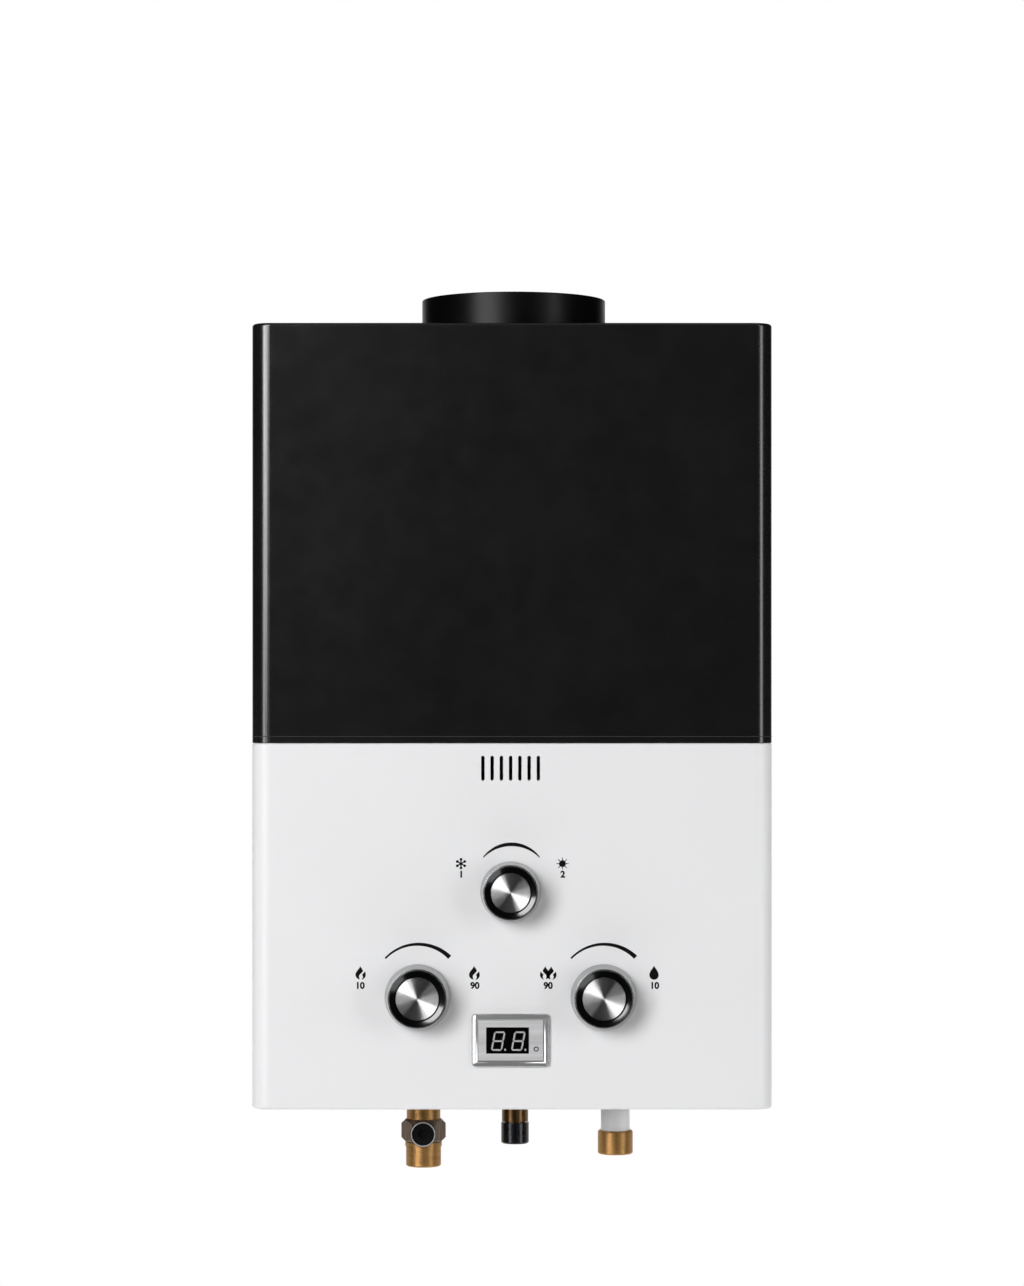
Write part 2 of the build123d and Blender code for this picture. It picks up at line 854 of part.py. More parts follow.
with BuildPart() as gas_manifold:
    block(
        (-manifold_half, manifold_half),
        (manifold_front, manifold_rear),
        (manifold_low, manifold_low + manifold_size),
    )
    bar(
        (2 * jet_radius - manifold_half, (manifold_front + manifold_rear) / 2, mouth_z),
        (1, 0, 0),
        manifold_bore,
        2 * manifold_half - 4 * jet_radius,
        Mode.SUBTRACT,
    )
    for side in (-1, 1):
        block(
            (side * (manifold_half - manifold_size / 2), side * manifold_half),
            (manifold_rear, chamber_front),
            (manifold_low, manifold_low + manifold_size),
        )
    for x in bar_xs:
        bar((x, manifold_rear, mouth_z), (0, -1, 0), jet_radius, jet_thread, Mode.SUBTRACT)

with BuildPart() as gas_jets:
    for x in bar_xs:
        bar((x, manifold_rear - jet_thread, mouth_z), (0, 1, 0), jet_radius, jet_thread + jet_nose)
        hexagon((x, manifold_rear, mouth_z), (0, 1, 0), jet_hex_radius, manifold_stand - frame_sheet)
        bar(
            (x, manifold_rear - jet_thread, mouth_z),
            (0, 1, 0),
            jet_bore,
            jet_thread + jet_nose,
            Mode.SUBTRACT,
        )

riser_y = manifold_front + riser_radius
season_reach = chamber_front - valve_front
with BuildPart() as season_valve_body:
    bar((panel_x, valve_front, season_z), (0, 1, 0), season_valve_radius, season_reach)
    bar((panel_x, riser_y, valve_high), (0, 0, 1), riser_radius, manifold_low - valve_high)
    bar((panel_x, riser_y, valve_high), (0, 0, 1), riser_bore, manifold_low - valve_high, Mode.SUBTRACT)
    bar(
        (panel_x, valve_front, season_z),
        (0, 1, 0),
        spindle_radius + spindle_play,
        season_reach - valve_wall,
        Mode.SUBTRACT,
    )

with BuildPart() as electrodes:
    for side in (-1, 1):
        x = side * electrode_x
        low = mouth_z + manifold_size / 2 + electrode_stand
        high = low + electrode_length
        rod_at = chamber_front - electrode_radius
        bar((x, rod_at, low), (0, 0, 1), electrode_radius, electrode_length)
        block(
            (x - 2 * electrode_radius, x + 2 * electrode_radius),
            (chamber_front - electrode_radius, chamber_front),
            (low + electrode_stand, low + electrode_stand + electrode_clip),
        )
        bar((x, rod_at, high), (0, 0, 1), wire_radius, wire_rise)
        bar((x, rod_at - wire_radius, high + wire_rise - wire_radius), (0, 1, 0), wire_radius, wire_reach)

# Gas valve with its cut-off poppet

gas_left = -gas_valve_left
gas_right = gas_valve_right
seat_x = gas_right - valve_wall - poppet_thickness
poppet_x = seat_x - seat_thickness
chamber_end = poppet_x - poppet_thickness - spring_room

with BuildPart() as gas_valve_body:
    with BuildSketch(Plane.XY.offset(valve_low)):
        with Locations(((gas_left + gas_right) / 2, (valve_front + valve_rear) / 2)):
            RectangleRounded(gas_right - gas_left, valve_depth, valve_wall)
    extrude(amount=valve_height)
    bar(
        (gas_knob_x, valve_front, knob_z),
        (0, 1, 0),
        spindle_radius + spindle_play,
        spindle_reach,
        Mode.SUBTRACT,
    )
    bar((gas_right, rod_y, rod_z), (-1, 0, 0), rod_radius + rod_play, valve_wall, Mode.SUBTRACT)
    bar(
        (gas_right - valve_wall, rod_y, rod_z),
        (-1, 0, 0),
        poppet_bore_radius,
        poppet_thickness,
        Mode.SUBTRACT,
    )
    bar((seat_x, rod_y, rod_z), (-1, 0, 0), seat_radius, seat_thickness, Mode.SUBTRACT)
    bar(
        (poppet_x, rod_y, rod_z),
        (-1, 0, 0),
        poppet_bore_radius,
        poppet_x - chamber_end,
        Mode.SUBTRACT,
    )
    # Inlet drilling, a side step and a rise into the chamber behind the poppet
    step_z = valve_low + 2 * valve_wall
    step_x = (chamber_end + poppet_x) / 2
    bar((gas_x, fitting_y, valve_low), (0, 0, 1), gas_bore, 2 * valve_wall, Mode.SUBTRACT)
    bar((gas_x, fitting_y, step_z), (-1, 0, 0), riser_bore / 2, gas_x - step_x, Mode.SUBTRACT)
    bar((step_x, fitting_y, step_z), (0, 0, 1), riser_bore / 2, rod_z - step_z, Mode.SUBTRACT)
    # Outlet drilling from the spindle across to the riser
    bar((gas_knob_x, riser_y, knob_z), (1, 0, 0), riser_bore / 2, panel_x - gas_knob_x, Mode.SUBTRACT)
    bar((panel_x, riser_y, knob_z), (0, 0, 1), riser_bore, valve_high - knob_z, Mode.SUBTRACT)

with BuildPart() as gas_poppet:
    bar((poppet_x, rod_y, rod_z), (-1, 0, 0), poppet_radius, poppet_thickness)
    stem_end = gas_right - valve_wall + rod_play
    bar((poppet_x, rod_y, rod_z), (1, 0, 0), 0.8 * rod_radius, stem_end - poppet_x)

with BuildPart() as gas_spring:
    spring_length = poppet_x - poppet_thickness - chamber_end - 2 * spring_wire
    spring_pitch = spring_length / spring_turns
    with BuildLine() as spring_route:
        Helix(
            spring_pitch,
            spring_length,
            spring_radius,
            center=(chamber_end + spring_wire, rod_y, rod_z),
            direction=(1, 0, 0),
        )
    start_edge = spring_route.edges()[0]
    with BuildSketch(Plane(origin=start_edge @ 0, z_dir=start_edge % 0)):
        Circle(spring_wire)
    sweep(path=spring_route.wires()[0], is_frenet=True)

with BuildPart() as gas_solenoid:
    solenoid_seat = (gas_left + solenoid_inset, valve_rear - solenoid_setback, valve_high)
    bar(solenoid_seat, (0, 0, 1), solenoid_radius, solenoid_height)
    hexagon(solenoid_seat, (0, 0, 1), solenoid_nut_radius, solenoid_nut_height)

with BuildPart() as gas_inlet_union:
    stub_end = bottom - gas_stub_drop
    bar((gas_x, fitting_y, stub_end), (0, 0, 1), gas_stub_radius, valve_low - stub_end)
    hexagon((gas_x, fitting_y, plate_high), (0, 0, 1), gas_stub_radius + nut_width, nut_height)
    bar((gas_x, fitting_y, stub_end), (0, 0, -1), gas_spigot_radius, gas_spigot_length)
    bar(
        (gas_x, fitting_y, stub_end - gas_spigot_length),
        (0, 0, 1),
        gas_bore,
        valve_low - stub_end + gas_spigot_length,
        Mode.SUBTRACT,
    )

nipple_top = bottom - gas_stub_drop - gas_groove
nipple_end = nipple_top - gas_nipple_length
with BuildPart() as gas_inlet_nipple:
    bar((gas_x, fitting_y, nipple_end), (0, 0, 1), three_eighth_radius, gas_nipple_length)
    chamfer(gas_inlet_nipple.edges().group_by(Axis.Z)[0], thread_chamfer)
    bar((gas_x, fitting_y, nipple_end), (0, 0, 1), gas_bore, gas_nipple_length, Mode.SUBTRACT)
    bar(
        (gas_x, fitting_y, bottom - gas_stub_drop - gas_spigot_length),
        (0, 0, 1),
        gas_spigot_radius,
        gas_spigot_length,
        Mode.SUBTRACT,
    )

# Water valve, diaphragm and the push rod that opens the gas

disc_left = water_valve_left - valve_disc_thickness
cover_right = disc_left - diaphragm_sheet
cover_left = cover_right - valve_cover_thickness
cavity_depth = rod_plate_sheet + poppet_travel + 4 * rod_play
boss_length = valve_wall

with BuildPart() as water_valve_body:
    with BuildSketch(Plane.XY.offset(valve_low)):
        with Locations(
            ((water_valve_left + water_valve_right) / 2, (valve_front + valve_rear) / 2)
        ):
            RectangleRounded(water_valve_right - water_valve_left, valve_depth, valve_wall)
    extrude(amount=valve_height)
    bar((disc_left, rod_y, rod_z), (1, 0, 0), valve_disc_radius, valve_disc_thickness)
    bar(
        (disc_left, rod_y, rod_z),
        (1, 0, 0),
        diaphragm_cavity,
        valve_disc_thickness - valve_wall / 2,
        Mode.SUBTRACT,
    )
    bar(
        (water_knob_x, valve_front, knob_z),
        (0, 1, 0),
        spindle_radius + spindle_play,
        spindle_reach,
        Mode.SUBTRACT,
    )
    neck_end = bottom - neck_drop
    bar((cold_x, fitting_y, neck_end), (0, 0, 1), neck_radius, valve_low - neck_end)
    bar((cold_x, fitting_y, neck_end), (0, 0, -1), neck_spigot_radius, neck_spigot_length)
    bar((cold_x, fitting_y, plate_high), (0, 0, 1), neck_radius + nut_width, nut_height)
    bar(
        (cold_x, fitting_y, neck_end - neck_spigot_length),
        (0, 0, 1),
        neck_bore,
        rod_z - neck_end + neck_spigot_length,
        Mode.SUBTRACT,
    )
    bar(
        (cold_pipe_x, coil_start_y, rod_z),
        (0, 0, 1),
        pipe_radius - pipe_wall,
        valve_high - rod_z,
        Mode.SUBTRACT,
    )

with BuildPart() as diaphragm:
    bar((cover_right, rod_y, rod_z), (1, 0, 0), valve_disc_radius, diaphragm_sheet)

with BuildPart() as water_valve_cover:
    bar((cover_left, rod_y, rod_z), (1, 0, 0), valve_disc_radius, valve_cover_thickness)
    bar((cover_left, rod_y, rod_z), (-1, 0, 0), 2 * rod_radius, boss_length)
    bar((cover_right, rod_y, rod_z), (-1, 0, 0), diaphragm_cavity, cavity_depth, Mode.SUBTRACT)
    bar(
        (cover_left - boss_length, rod_y, rod_z),
        (1, 0, 0),
        rod_radius + rod_play,
        boss_length + valve_cover_thickness,
        Mode.SUBTRACT,
    )

rod_right = cover_right - 2 * rod_play
rod_left = gas_right - valve_wall + 2 * rod_play
collar_right = cover_left - boss_length - 2 * rod_play
collar_left = collar_right - poppet_thickness
with BuildPart() as push_rod:
    bar((rod_left, rod_y, rod_z), (1, 0, 0), rod_radius, rod_right - rod_left)
    bar((rod_right, rod_y, rod_z), (-1, 0, 0), rod_plate_radius, rod_plate_sheet)
    bar((collar_left, rod_y, rod_z), (1, 0, 0), switch_collar_radius, collar_right - collar_left)

# Microswitch that the rod's collar trips through a lever
lever_x = collar_left - lever_gap - lever_sheet / 2
lever_pin_z = rod_z + 2 * switch_collar_radius
lever_tip_z = rod_z + rod_radius + 2 * lever_gap

with BuildPart() as microswitch_lever:
    bar((lever_x, rod_y - lever_half, lever_pin_z), (0, 1, 0), lever_hub, 2 * lever_half)
    block(
        (lever_x - lever_sheet / 2, lever_x + lever_sheet / 2),
        (rod_y - lever_half, rod_y + lever_half),
        (lever_tip_z, lever_pin_z),
    )
    bar(
        (lever_x, rod_y - lever_half, lever_pin_z),
        (0, 1, 0),
        lever_pin_radius + rod_play,
        2 * lever_half,
        Mode.SUBTRACT,
    )

with BuildPart() as microswitch:
    ear_half = lever_half + lever_gap + switch_ear
    switch_low = lever_pin_z + lever_hub + lever_gap
    block(
        (gas_right + switch_stand, cover_left),
        (rod_y - ear_half, rod_y + ear_half),
        (switch_low, switch_low + switch_height),
    )
    for side in (-1, 1):
        block(
            (lever_x - switch_ear_half, lever_x + switch_ear_half),
            (rod_y + side * (lever_half + lever_gap), rod_y + side * ear_half),
            (lever_pin_z - switch_ear, switch_low),
        )
    bar((lever_x, rod_y - ear_half, lever_pin_z), (0, 1, 0), lever_pin_radius, 2 * ear_half)

with BuildPart() as cold_inlet_insert:
    insert_end = neck_end - insert_length
    bar((cold_x, fitting_y, insert_end), (0, 0, 1), half_inch_radius, insert_length)
    chamfer(cold_inlet_insert.edges().group_by(Axis.Z)[0], thread_chamfer)
    chamfer(cold_inlet_insert.edges().group_by(Axis.Z)[-1], thread_chamfer)
    bar((cold_x, fitting_y, insert_end), (0, 0, 1), neck_spigot_radius, insert_length, Mode.SUBTRACT)

with BuildPart() as inlet_filter:
    filter_top = neck_end - neck_spigot_length
    filter_depth = insert_length - neck_spigot_length - filter_recess
    bar((cold_x, fitting_y, filter_top - filter_depth), (0, 0, 1), neck_spigot_radius, filter_depth)
    bar(
        (cold_x, fitting_y, filter_top - filter_depth + filter_sheet),
        (0, 0, 1),
        neck_spigot_radius - filter_sheet,
        filter_depth,
        Mode.SUBTRACT,
    )

# Hot outlet tee with its relief port

hex_top = bottom - tee_stub_drop
hex_low = hex_top - tee_hex_height
tee_end = hex_low - tee_thread_length
thread_top = hex_low - tee_shoulder_length
shoulder_radius = half_inch_radius + tee_shoulder_step
port_z = (hex_top + hex_low) / 2 - port_drop
hex_flat = tee_hex_radius * cos(pi / 6)
port_face = fitting_y - hex_flat - port_proud

with BuildPart() as hot_outlet_tee:
    hexagon((hot_x, fitting_y, hex_low), (0, 0, 1), tee_hex_radius, tee_hex_height)
    with BuildSketch(Plane.XZ) as bevel_profile:
        with BuildLine():
            Polyline(
                (0, hex_low),
                (tee_hex_radius - tee_hex_chamfer, hex_low),
                (tee_hex_radius, hex_low + tee_hex_chamfer),
                (tee_hex_radius, hex_top - tee_hex_chamfer),
                (tee_hex_radius - tee_hex_chamfer, hex_top),
                (0, hex_top),
                close=True,
            )
        make_face()
    bevel_solid = revolve(bevel_profile.sketch, axis=Axis.Z, mode=Mode.PRIVATE)
    add(bevel_solid.moved(Location((hot_x, fitting_y, 0))), mode=Mode.INTERSECT)
    bar((hot_x, fitting_y, hex_top), (0, 0, 1), tee_stub_radius, tee_top - hex_top)
    hexagon((hot_x, fitting_y, plate_high), (0, 0, 1), tee_stub_radius + nut_width, nut_height)
    bar((hot_x, fitting_y, tee_end), (0, 0, 1), half_inch_radius, thread_top - tee_end)
    chamfer(hot_outlet_tee.edges().group_by(Axis.Z)[0], thread_chamfer)
    bar((hot_x, fitting_y, thread_top), (0, 0, 1), shoulder_radius, tee_shoulder_length)
    bar((hot_x, port_face, port_z), (0, 1, 0), port_radius, fitting_y - port_face)
    bar((hot_x, fitting_y, tee_end), (0, 0, 1), tee_bore, tee_top - tee_end - valve_wall, Mode.SUBTRACT)
    bar((hot_x, fitting_y, tee_end), (0, 0, 1), pipe_radius - pipe_wall, tee_top - tee_end, Mode.SUBTRACT)
    bar((hot_x, port_face, port_z), (0, 1, 0), port_hole_radius, hex_flat + port_proud, Mode.SUBTRACT)

with BuildPart() as relief_plug:
    plug_face = port_face + plug_recess
    plug_rear = fitting_y - tee_bore
    bar((hot_x, plug_face, port_z), (0, 1, 0), port_hole_radius, plug_rear - plug_face)
    hexagon(
        (hot_x, plug_face, port_z),
        (0, 1, 0),
        plug_socket_radius,
        plug_socket_depth,
        Mode.SUBTRACT,
    )

# Igniter and sensors

igniter_z = bottom + igniter_lift
with BuildPart() as igniter_box:
    block(
        (igniter_x - igniter_width / 2, igniter_x + igniter_width / 2),
        (-back_sheet - igniter_depth, -back_sheet),
        (igniter_z, igniter_z + igniter_height),
    )
    fillet(igniter_box.edges().filter_by(Axis.Y), igniter_round)
    for side in (-1, 1):
        terminal_x = igniter_x + side * igniter_width / 4
        bar(
            (terminal_x, -back_sheet - igniter_depth / 2, igniter_z + igniter_height),
            (0, 0, 1),
            terminal_radius,
            terminal_height,
        )

with BuildPart() as overheat_thermostat:
    sensor_z = coil_route[3][2] + climb / 2 + coil_pitch / 2 + climb
    bar((chamber_width / 4, chamber_front, sensor_z), (0, -1, 0), sensor_radius, sensor_height)
    bar(
        (chamber_width / 4, chamber_front - sensor_height, sensor_z),
        (0, -1, 0),
        sensor_radius / 2,
        sensor_stem,
    )

with BuildPart() as flue_thermostat:
    hood_front = flue_y - hood_depth / 2
    hood_mid = hood_top - hood_box_height / 2
    bar((chamber_width / 4, hood_front, hood_mid), (0, -1, 0), sensor_radius, sensor_height)

# Display

opening_width = bezel_width - 2 * bezel_border
opening_height = bezel_height - 2 * bezel_border

with BuildPart() as display_bezel:
    with BuildSketch(Plane.XZ.offset(case_depth)):
        with Locations((panel_x, display_z)):
            RectangleRounded(bezel_width, bezel_height, bezel_corner)
    extrude(amount=bezel_proud)
    fillet(display_bezel.edges().group_by(Axis.Y)[0], round_share * bezel_proud)
    with BuildSketch(Plane.XZ.offset(case_depth)):
        with Locations((panel_x, display_z)):
            Rectangle(opening_width + 2 * bezel_skirt, opening_height + 2 * bezel_skirt)
    extrude(amount=-bezel_tube)
    with BuildSketch(Plane.XZ.offset(case_depth + bezel_proud)):
        with Locations((panel_x, display_z)):
            Rectangle(opening_width, opening_height)
    extrude(amount=-bezel_tube - bezel_proud, mode=Mode.SUBTRACT)

plate_face = front - bezel_proud + plate_recess
with BuildPart() as display_plate:
    with BuildSketch(Plane.XZ.offset(-plate_face)):
        with Locations((panel_x, display_z)):
            Rectangle(opening_width, opening_height)
        with Locations((panel_x + window_shift_x, display_z)):
            Rectangle(window_width, window_height, mode=Mode.SUBTRACT)
    extrude(amount=-plate_sheet)

with BuildPart() as display_module:
    with BuildSketch(Plane.XZ.offset(-plate_face)):
        with Locations((panel_x + window_shift_x, display_z)):
            Rectangle(window_width, window_height)
    extrude(amount=-plate_sheet)
    with BuildSketch(Plane.XZ.offset(-plate_face - plate_sheet)):
        with Locations((panel_x, display_z)):
            Rectangle(opening_width, opening_height)
    extrude(amount=-module_depth)

with BuildPart() as display_board:
    with BuildSketch(Plane.XZ.offset(-plate_face - plate_sheet - module_depth)):
        with Locations((panel_x, display_z)):
            Rectangle(opening_width, opening_height)
    extrude(amount=-board_sheet)


# Knobs and spindles

def knob_parts(x, z, base_radius, ring_radius, cap_radius, reach):
    """Make the chromed skirt, black ring, spun cap and spindle of one knob."""
    face = front - knob_stand
    foot = face - knob_foot
    web = face - knob_web_depth
    lip = face - knob_lip_depth
    crown = front - knob_height_out
    seat = ring_radius - knob_ring_step

    def turned(points, through=None):
        """Revolve a profile of (radius, y) points, closed straight or by an arc through a point."""
        corners = [(x + radius, y) for radius, y in points]
        with BuildSketch(Plane.XY.offset(z)) as profile:
            with BuildLine():
                Polyline(*corners, close=through is None)
                if through:
                    ThreePointArc(corners[-1], (x + through[0], through[1]), corners[0])
            make_face()
        revolve(profile.sketch, axis=Axis((x, 0, z), (0, 1, 0)))

    with BuildPart() as skirt:
        turned(
            [
                (base_radius, face),
                (base_radius, foot),
                (ring_radius + knob_lip_step, lip),
                (ring_radius, lip - knob_lip_bevel),
                (seat, lip),
                (seat, web),
                (spindle_radius, web),
                (spindle_radius, face),
                (hub_radius, face),
                (hub_radius, web + knob_wall),
                (ring_radius - knob_wall, web + knob_wall),
                (base_radius - knob_wall, foot),
                (base_radius - knob_wall, face),
            ]
        )
    with BuildPart() as ring:
        turned(
            [
                (seat, crown + knob_ring_round),
                (seat, web),
                (cap_radius, web),
                (cap_radius, crown + cap_sink),
            ],
            through=((seat + cap_radius) / 2, crown),
        )
    with BuildPart() as cap:
        turned(
            [
                (0, web),
                (cap_radius, web),
                (cap_radius, crown + cap_sink + cap_bevel),
                (cap_radius - cap_bevel, crown + cap_sink),
                (0, crown + cap_sink),
            ]
        )
    with BuildPart() as spindle:
        back = valve_front + reach - 1.5 * valve_wall
        bar((x, web, z), (0, 1, 0), spindle_radius, back - web)
    return skirt, ring, cap, spindle


gas_knob_skirt, gas_knob_ring, gas_knob_cap, gas_spindle = knob_parts(
    gas_knob_x, knob_z, knob_radius, knob_ring_radius, knob_cap_radius, spindle_reach
)
water_knob_skirt, water_knob_ring, water_knob_cap, water_spindle = knob_parts(
    water_knob_x, knob_z, knob_radius, knob_ring_radius, knob_cap_radius, spindle_reach
)
season_knob_skirt, season_knob_ring, season_knob_cap, season_spindle = knob_parts(
    panel_x, season_z, season_knob_radius, season_ring_radius, season_cap_radius, season_reach
)

pieces = {
    "back_plate": back_plate,
    "bottom_plate": bottom_plate,
    "upper_cover": upper_cover,
    "lower_cover": lower_cover,
    "cover_screws": cover_screws,
    "flue_collar": flue_collar,
    "collar_screws": collar_screws,
    "draft_hood": draft_hood,
    "chamber_shell": chamber_shell,
    "heat_fins": heat_fins,
    "fin_tubes": fin_tubes,
    "water_coil": water_coil,
    "cold_pipe": cold_pipe,
    "hot_pipe": hot_pipe,
    "overheat_thermostat": overheat_thermostat,
    "flue_thermostat": flue_thermostat,
    "burner_frame": burner_frame,
    "burner_bars": burner_bars,
    "gas_manifold": gas_manifold,
    "gas_jets": gas_jets,
    "electrodes": electrodes,
    "season_valve_body": season_valve_body,
    "gas_valve_body": gas_valve_body,
    "gas_poppet": gas_poppet,
    "gas_spring": gas_spring,
    "gas_solenoid": gas_solenoid,
    "gas_inlet_union": gas_inlet_union,
    "gas_inlet_nipple": gas_inlet_nipple,
    "water_valve_body": water_valve_body,
    "water_valve_cover": water_valve_cover,
    "diaphragm": diaphragm,
    "push_rod": push_rod,
    "microswitch": microswitch,
    "microswitch_lever": microswitch_lever,
    "cold_inlet_insert": cold_inlet_insert,
    "inlet_filter": inlet_filter,
    "hot_outlet_tee": hot_outlet_tee,
    "relief_plug": relief_plug,
    "igniter_box": igniter_box,
    "battery_box": battery_box,
    "battery_door": battery_door,
    "batteries": batteries,
    "battery_contacts": battery_contacts,
    "display_bezel": display_bezel,
    "display_plate": display_plate,
    "display_module": display_module,
    "display_board": display_board,
    "gas_knob_skirt": gas_knob_skirt,
    "gas_knob_ring": gas_knob_ring,
    "gas_knob_cap": gas_knob_cap,
    "gas_spindle": gas_spindle,
    "water_knob_skirt": water_knob_skirt,
    "water_knob_ring": water_knob_ring,
    "water_knob_cap": water_knob_cap,
    "water_spindle": water_spindle,
    "season_knob_skirt": season_knob_skirt,
    "season_knob_ring": season_knob_ring,
    "season_knob_cap": season_knob_cap,
    "season_spindle": season_spindle,
}

for name, piece in pieces.items():
    piece.part.label = name
    export_step(piece.part, f"parts/{name}.step")
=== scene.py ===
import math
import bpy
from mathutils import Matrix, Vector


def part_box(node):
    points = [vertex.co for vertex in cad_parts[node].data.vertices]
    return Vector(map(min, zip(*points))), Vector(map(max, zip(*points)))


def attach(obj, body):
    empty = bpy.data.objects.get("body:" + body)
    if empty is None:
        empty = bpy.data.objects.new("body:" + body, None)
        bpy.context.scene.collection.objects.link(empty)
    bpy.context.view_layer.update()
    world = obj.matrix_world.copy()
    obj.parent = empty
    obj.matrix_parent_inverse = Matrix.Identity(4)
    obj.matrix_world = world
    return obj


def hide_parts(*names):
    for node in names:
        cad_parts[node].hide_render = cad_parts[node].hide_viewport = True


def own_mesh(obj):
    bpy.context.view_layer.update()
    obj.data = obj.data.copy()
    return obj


bl_info = {
    "name": "Tankless gas water heater",
    "version": (1, 0, 0),
    "blender": (4, 5, 0),
    "location": "View3D > Sidebar > Heater",
    "description": "Finishes, knobs, panel print, display, fastenings and studio of a wall-hung heater",
    "category": "Object",
}

import bmesh
import bpy
from mathutils import Matrix, Vector

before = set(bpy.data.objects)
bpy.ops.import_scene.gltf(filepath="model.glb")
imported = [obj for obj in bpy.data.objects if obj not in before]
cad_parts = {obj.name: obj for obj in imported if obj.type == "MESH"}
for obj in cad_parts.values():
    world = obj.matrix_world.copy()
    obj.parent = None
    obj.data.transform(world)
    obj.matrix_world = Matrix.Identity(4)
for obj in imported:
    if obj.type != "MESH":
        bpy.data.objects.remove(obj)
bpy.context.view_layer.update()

MM = 0.001
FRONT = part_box("lower_cover")[0].y

# Shared sizes in millimetres

EDGE_ROUND = 11.0
CAP_SINK = 0.25
FRAME_CORNER = 2.6
TEE_BODY_HEIGHT = 14.0
TEE_PORT_DROP = 1.3
TEE_RIM_RADIUS = 7.35
TEE_RIM_BACK = -82.9
COLLAR_HEAD = 1.0
ARC_MARGIN = 0.04
MARK_THICKNESS = 0.06
MARK_LIFT = 0.01

# Counts, directions and limits

TURN_STEPS = 144
ARC_PARTS = 5
SPRING_TURNS = 6
SHARP_ANGLE = math.radians(38.0)
SAME_POINT = 1e-7
OUT = Vector((0, -1, 0))
CORNERS = ((1, 1), (-1, 1), (-1, -1), (1, -1))


# Nodes and finishes

def feed(tree, socket, value):
    """Link an output to a socket, or set its value; a colour needs only three numbers."""
    if isinstance(value, bpy.types.NodeSocket):
        tree.links.new(value, socket)
    elif isinstance(value, (tuple, list)) and socket.type == "RGBA":
        socket.default_value = (*value[:3], 1.0)
    else:
        socket.default_value = value


def add_node(tree, kind, inputs=None, **settings):
    """Add a node to a tree, with its settings and its inputs by name or number."""
    node = tree.nodes.new(kind)
    for name, value in settings.items():
        setattr(node, name, value)
    for name, value in (inputs or {}).items():
        feed(tree, node.inputs[name], value)
    return node


class Finish:
    """A procedural material while it is made: its node tree and the shader that the tree feeds."""

    def __init__(self, name, colour, roughness, **constants):
        self.material = bpy.data.materials.new(name)
        self.material.use_nodes = True
        self.tree = self.material.node_tree
        self.shader = self.tree.nodes["Principled BSDF"]
        self.place = self.add("ShaderNodeTexCoord").outputs["Object"]
        self.last_bump = None
        self.set(Base_Color=colour, Roughness=roughness, **constants)

    def set(self, **sockets):
        """Set or feed sockets of the shader; an underscore in a name stands for a space."""
        for name, value in sockets.items():
            feed(self.tree, self.shader.inputs[name.replace("_", " ")], value)

    def add(self, kind, inputs=None, **settings):
        """Add a node to this finish."""
        return add_node(self.tree, kind, inputs, **settings)

    def axes(self):
        """The x, y and z of Object coordinates."""
        return self.add("ShaderNodeSeparateXYZ", {0: self.place}).outputs

    def mapped(self, stretch=(1, 1, 1), centre=(0, 0, 0)):
        """Object coordinates measured from a centre in metres, and stretched along each axis."""
        moved = self.add("ShaderNodeVectorMath", {0: self.place, 1: centre}, operation="SUBTRACT")
        inputs = {0: moved.outputs[0], 1: stretch}
        return self.add("ShaderNodeVectorMath", inputs, operation="MULTIPLY").outputs[0]

    def noise(self, scale, detail=3.0, stretch=(1, 1, 1), where=None, roughness=0.55):
        """Noise from 0 to 1; scale is its number of features per metre."""
        vector = where or self.mapped(stretch)
        inputs = {"Vector": vector, "Scale": scale, "Detail": detail, "Roughness": roughness}
        return self.add("ShaderNodeTexNoise", inputs).outputs[0]

    def cells(self, scale, stretch=(1, 1, 1), where=None, output="Color"):
        """Irregular cells, each with a random colour, or the distance to their middles."""
        vector = where or self.mapped(stretch)
        return self.add("ShaderNodeTexVoronoi", {"Vector": vector, "Scale": scale}).outputs[output]

    def span(self, value, low, high, to_low=0.0, to_high=1.0):
        """Move a value from one range to another, and hold it there."""
        inputs = {"Value": value, "From Min": low, "From Max": high, "To Min": to_low, "To Max": to_high}
        return self.add("ShaderNodeMapRange", inputs).outputs[0]

    def mix(self, factor, first, second, how="MIX"):
        """Mix two colours by a factor; they are the node's inputs 6 and 7."""
        inputs = {0: factor, 6: first, 7: second}
        return self.add("ShaderNodeMix", inputs, data_type="RGBA", blend_type=how).outputs[2]

    def tinted(self, colour, tone):
        """A colour made lighter or darker by a tone about 1."""
        return self.mix(1.0, colour, tone, "MULTIPLY")

    def maths(self, operation, *values):
        """One sum on numbers."""
        return self.add("ShaderNodeMath", dict(enumerate(values)), operation=operation).outputs[0]

    def bump(self, height, depth, strength=1.0):
        """Raise the surface by a height from 0 to 1 times a depth in millimetres."""
        inputs = {"Height": height, "Distance": depth * MM, "Strength": strength}
        if self.last_bump:
            inputs["Normal"] = self.last_bump
        self.last_bump = self.add("ShaderNodeBump", inputs).outputs[0]
        self.set(Normal=self.last_bump)


def paint(name, colour, roughness, peel, mottle, grain=0.003, shine=0.5):
    """A sprayed coat: faint orange peel, a fine grain and a slight change of sheen."""
    finish = Finish(name, colour, roughness, Specular_IOR_Level=shine)
    cloud = finish.noise(14.0, 4.0)
    tone = finish.span(cloud, 0.3, 0.7, 1.0 - mottle, 1.0 + mottle)
    finish.set(Base_Color=finish.tinted(colour, tone))
    sheen = finish.span(finish.noise(60.0, 3.0), 0.3, 0.7, roughness * 0.92, roughness * 1.08)
    finish.set(Roughness=sheen)
    finish.bump(finish.noise(420.0, 2.0), peel)
    finish.bump(finish.noise(2600.0, 1.0), grain)
    return finish


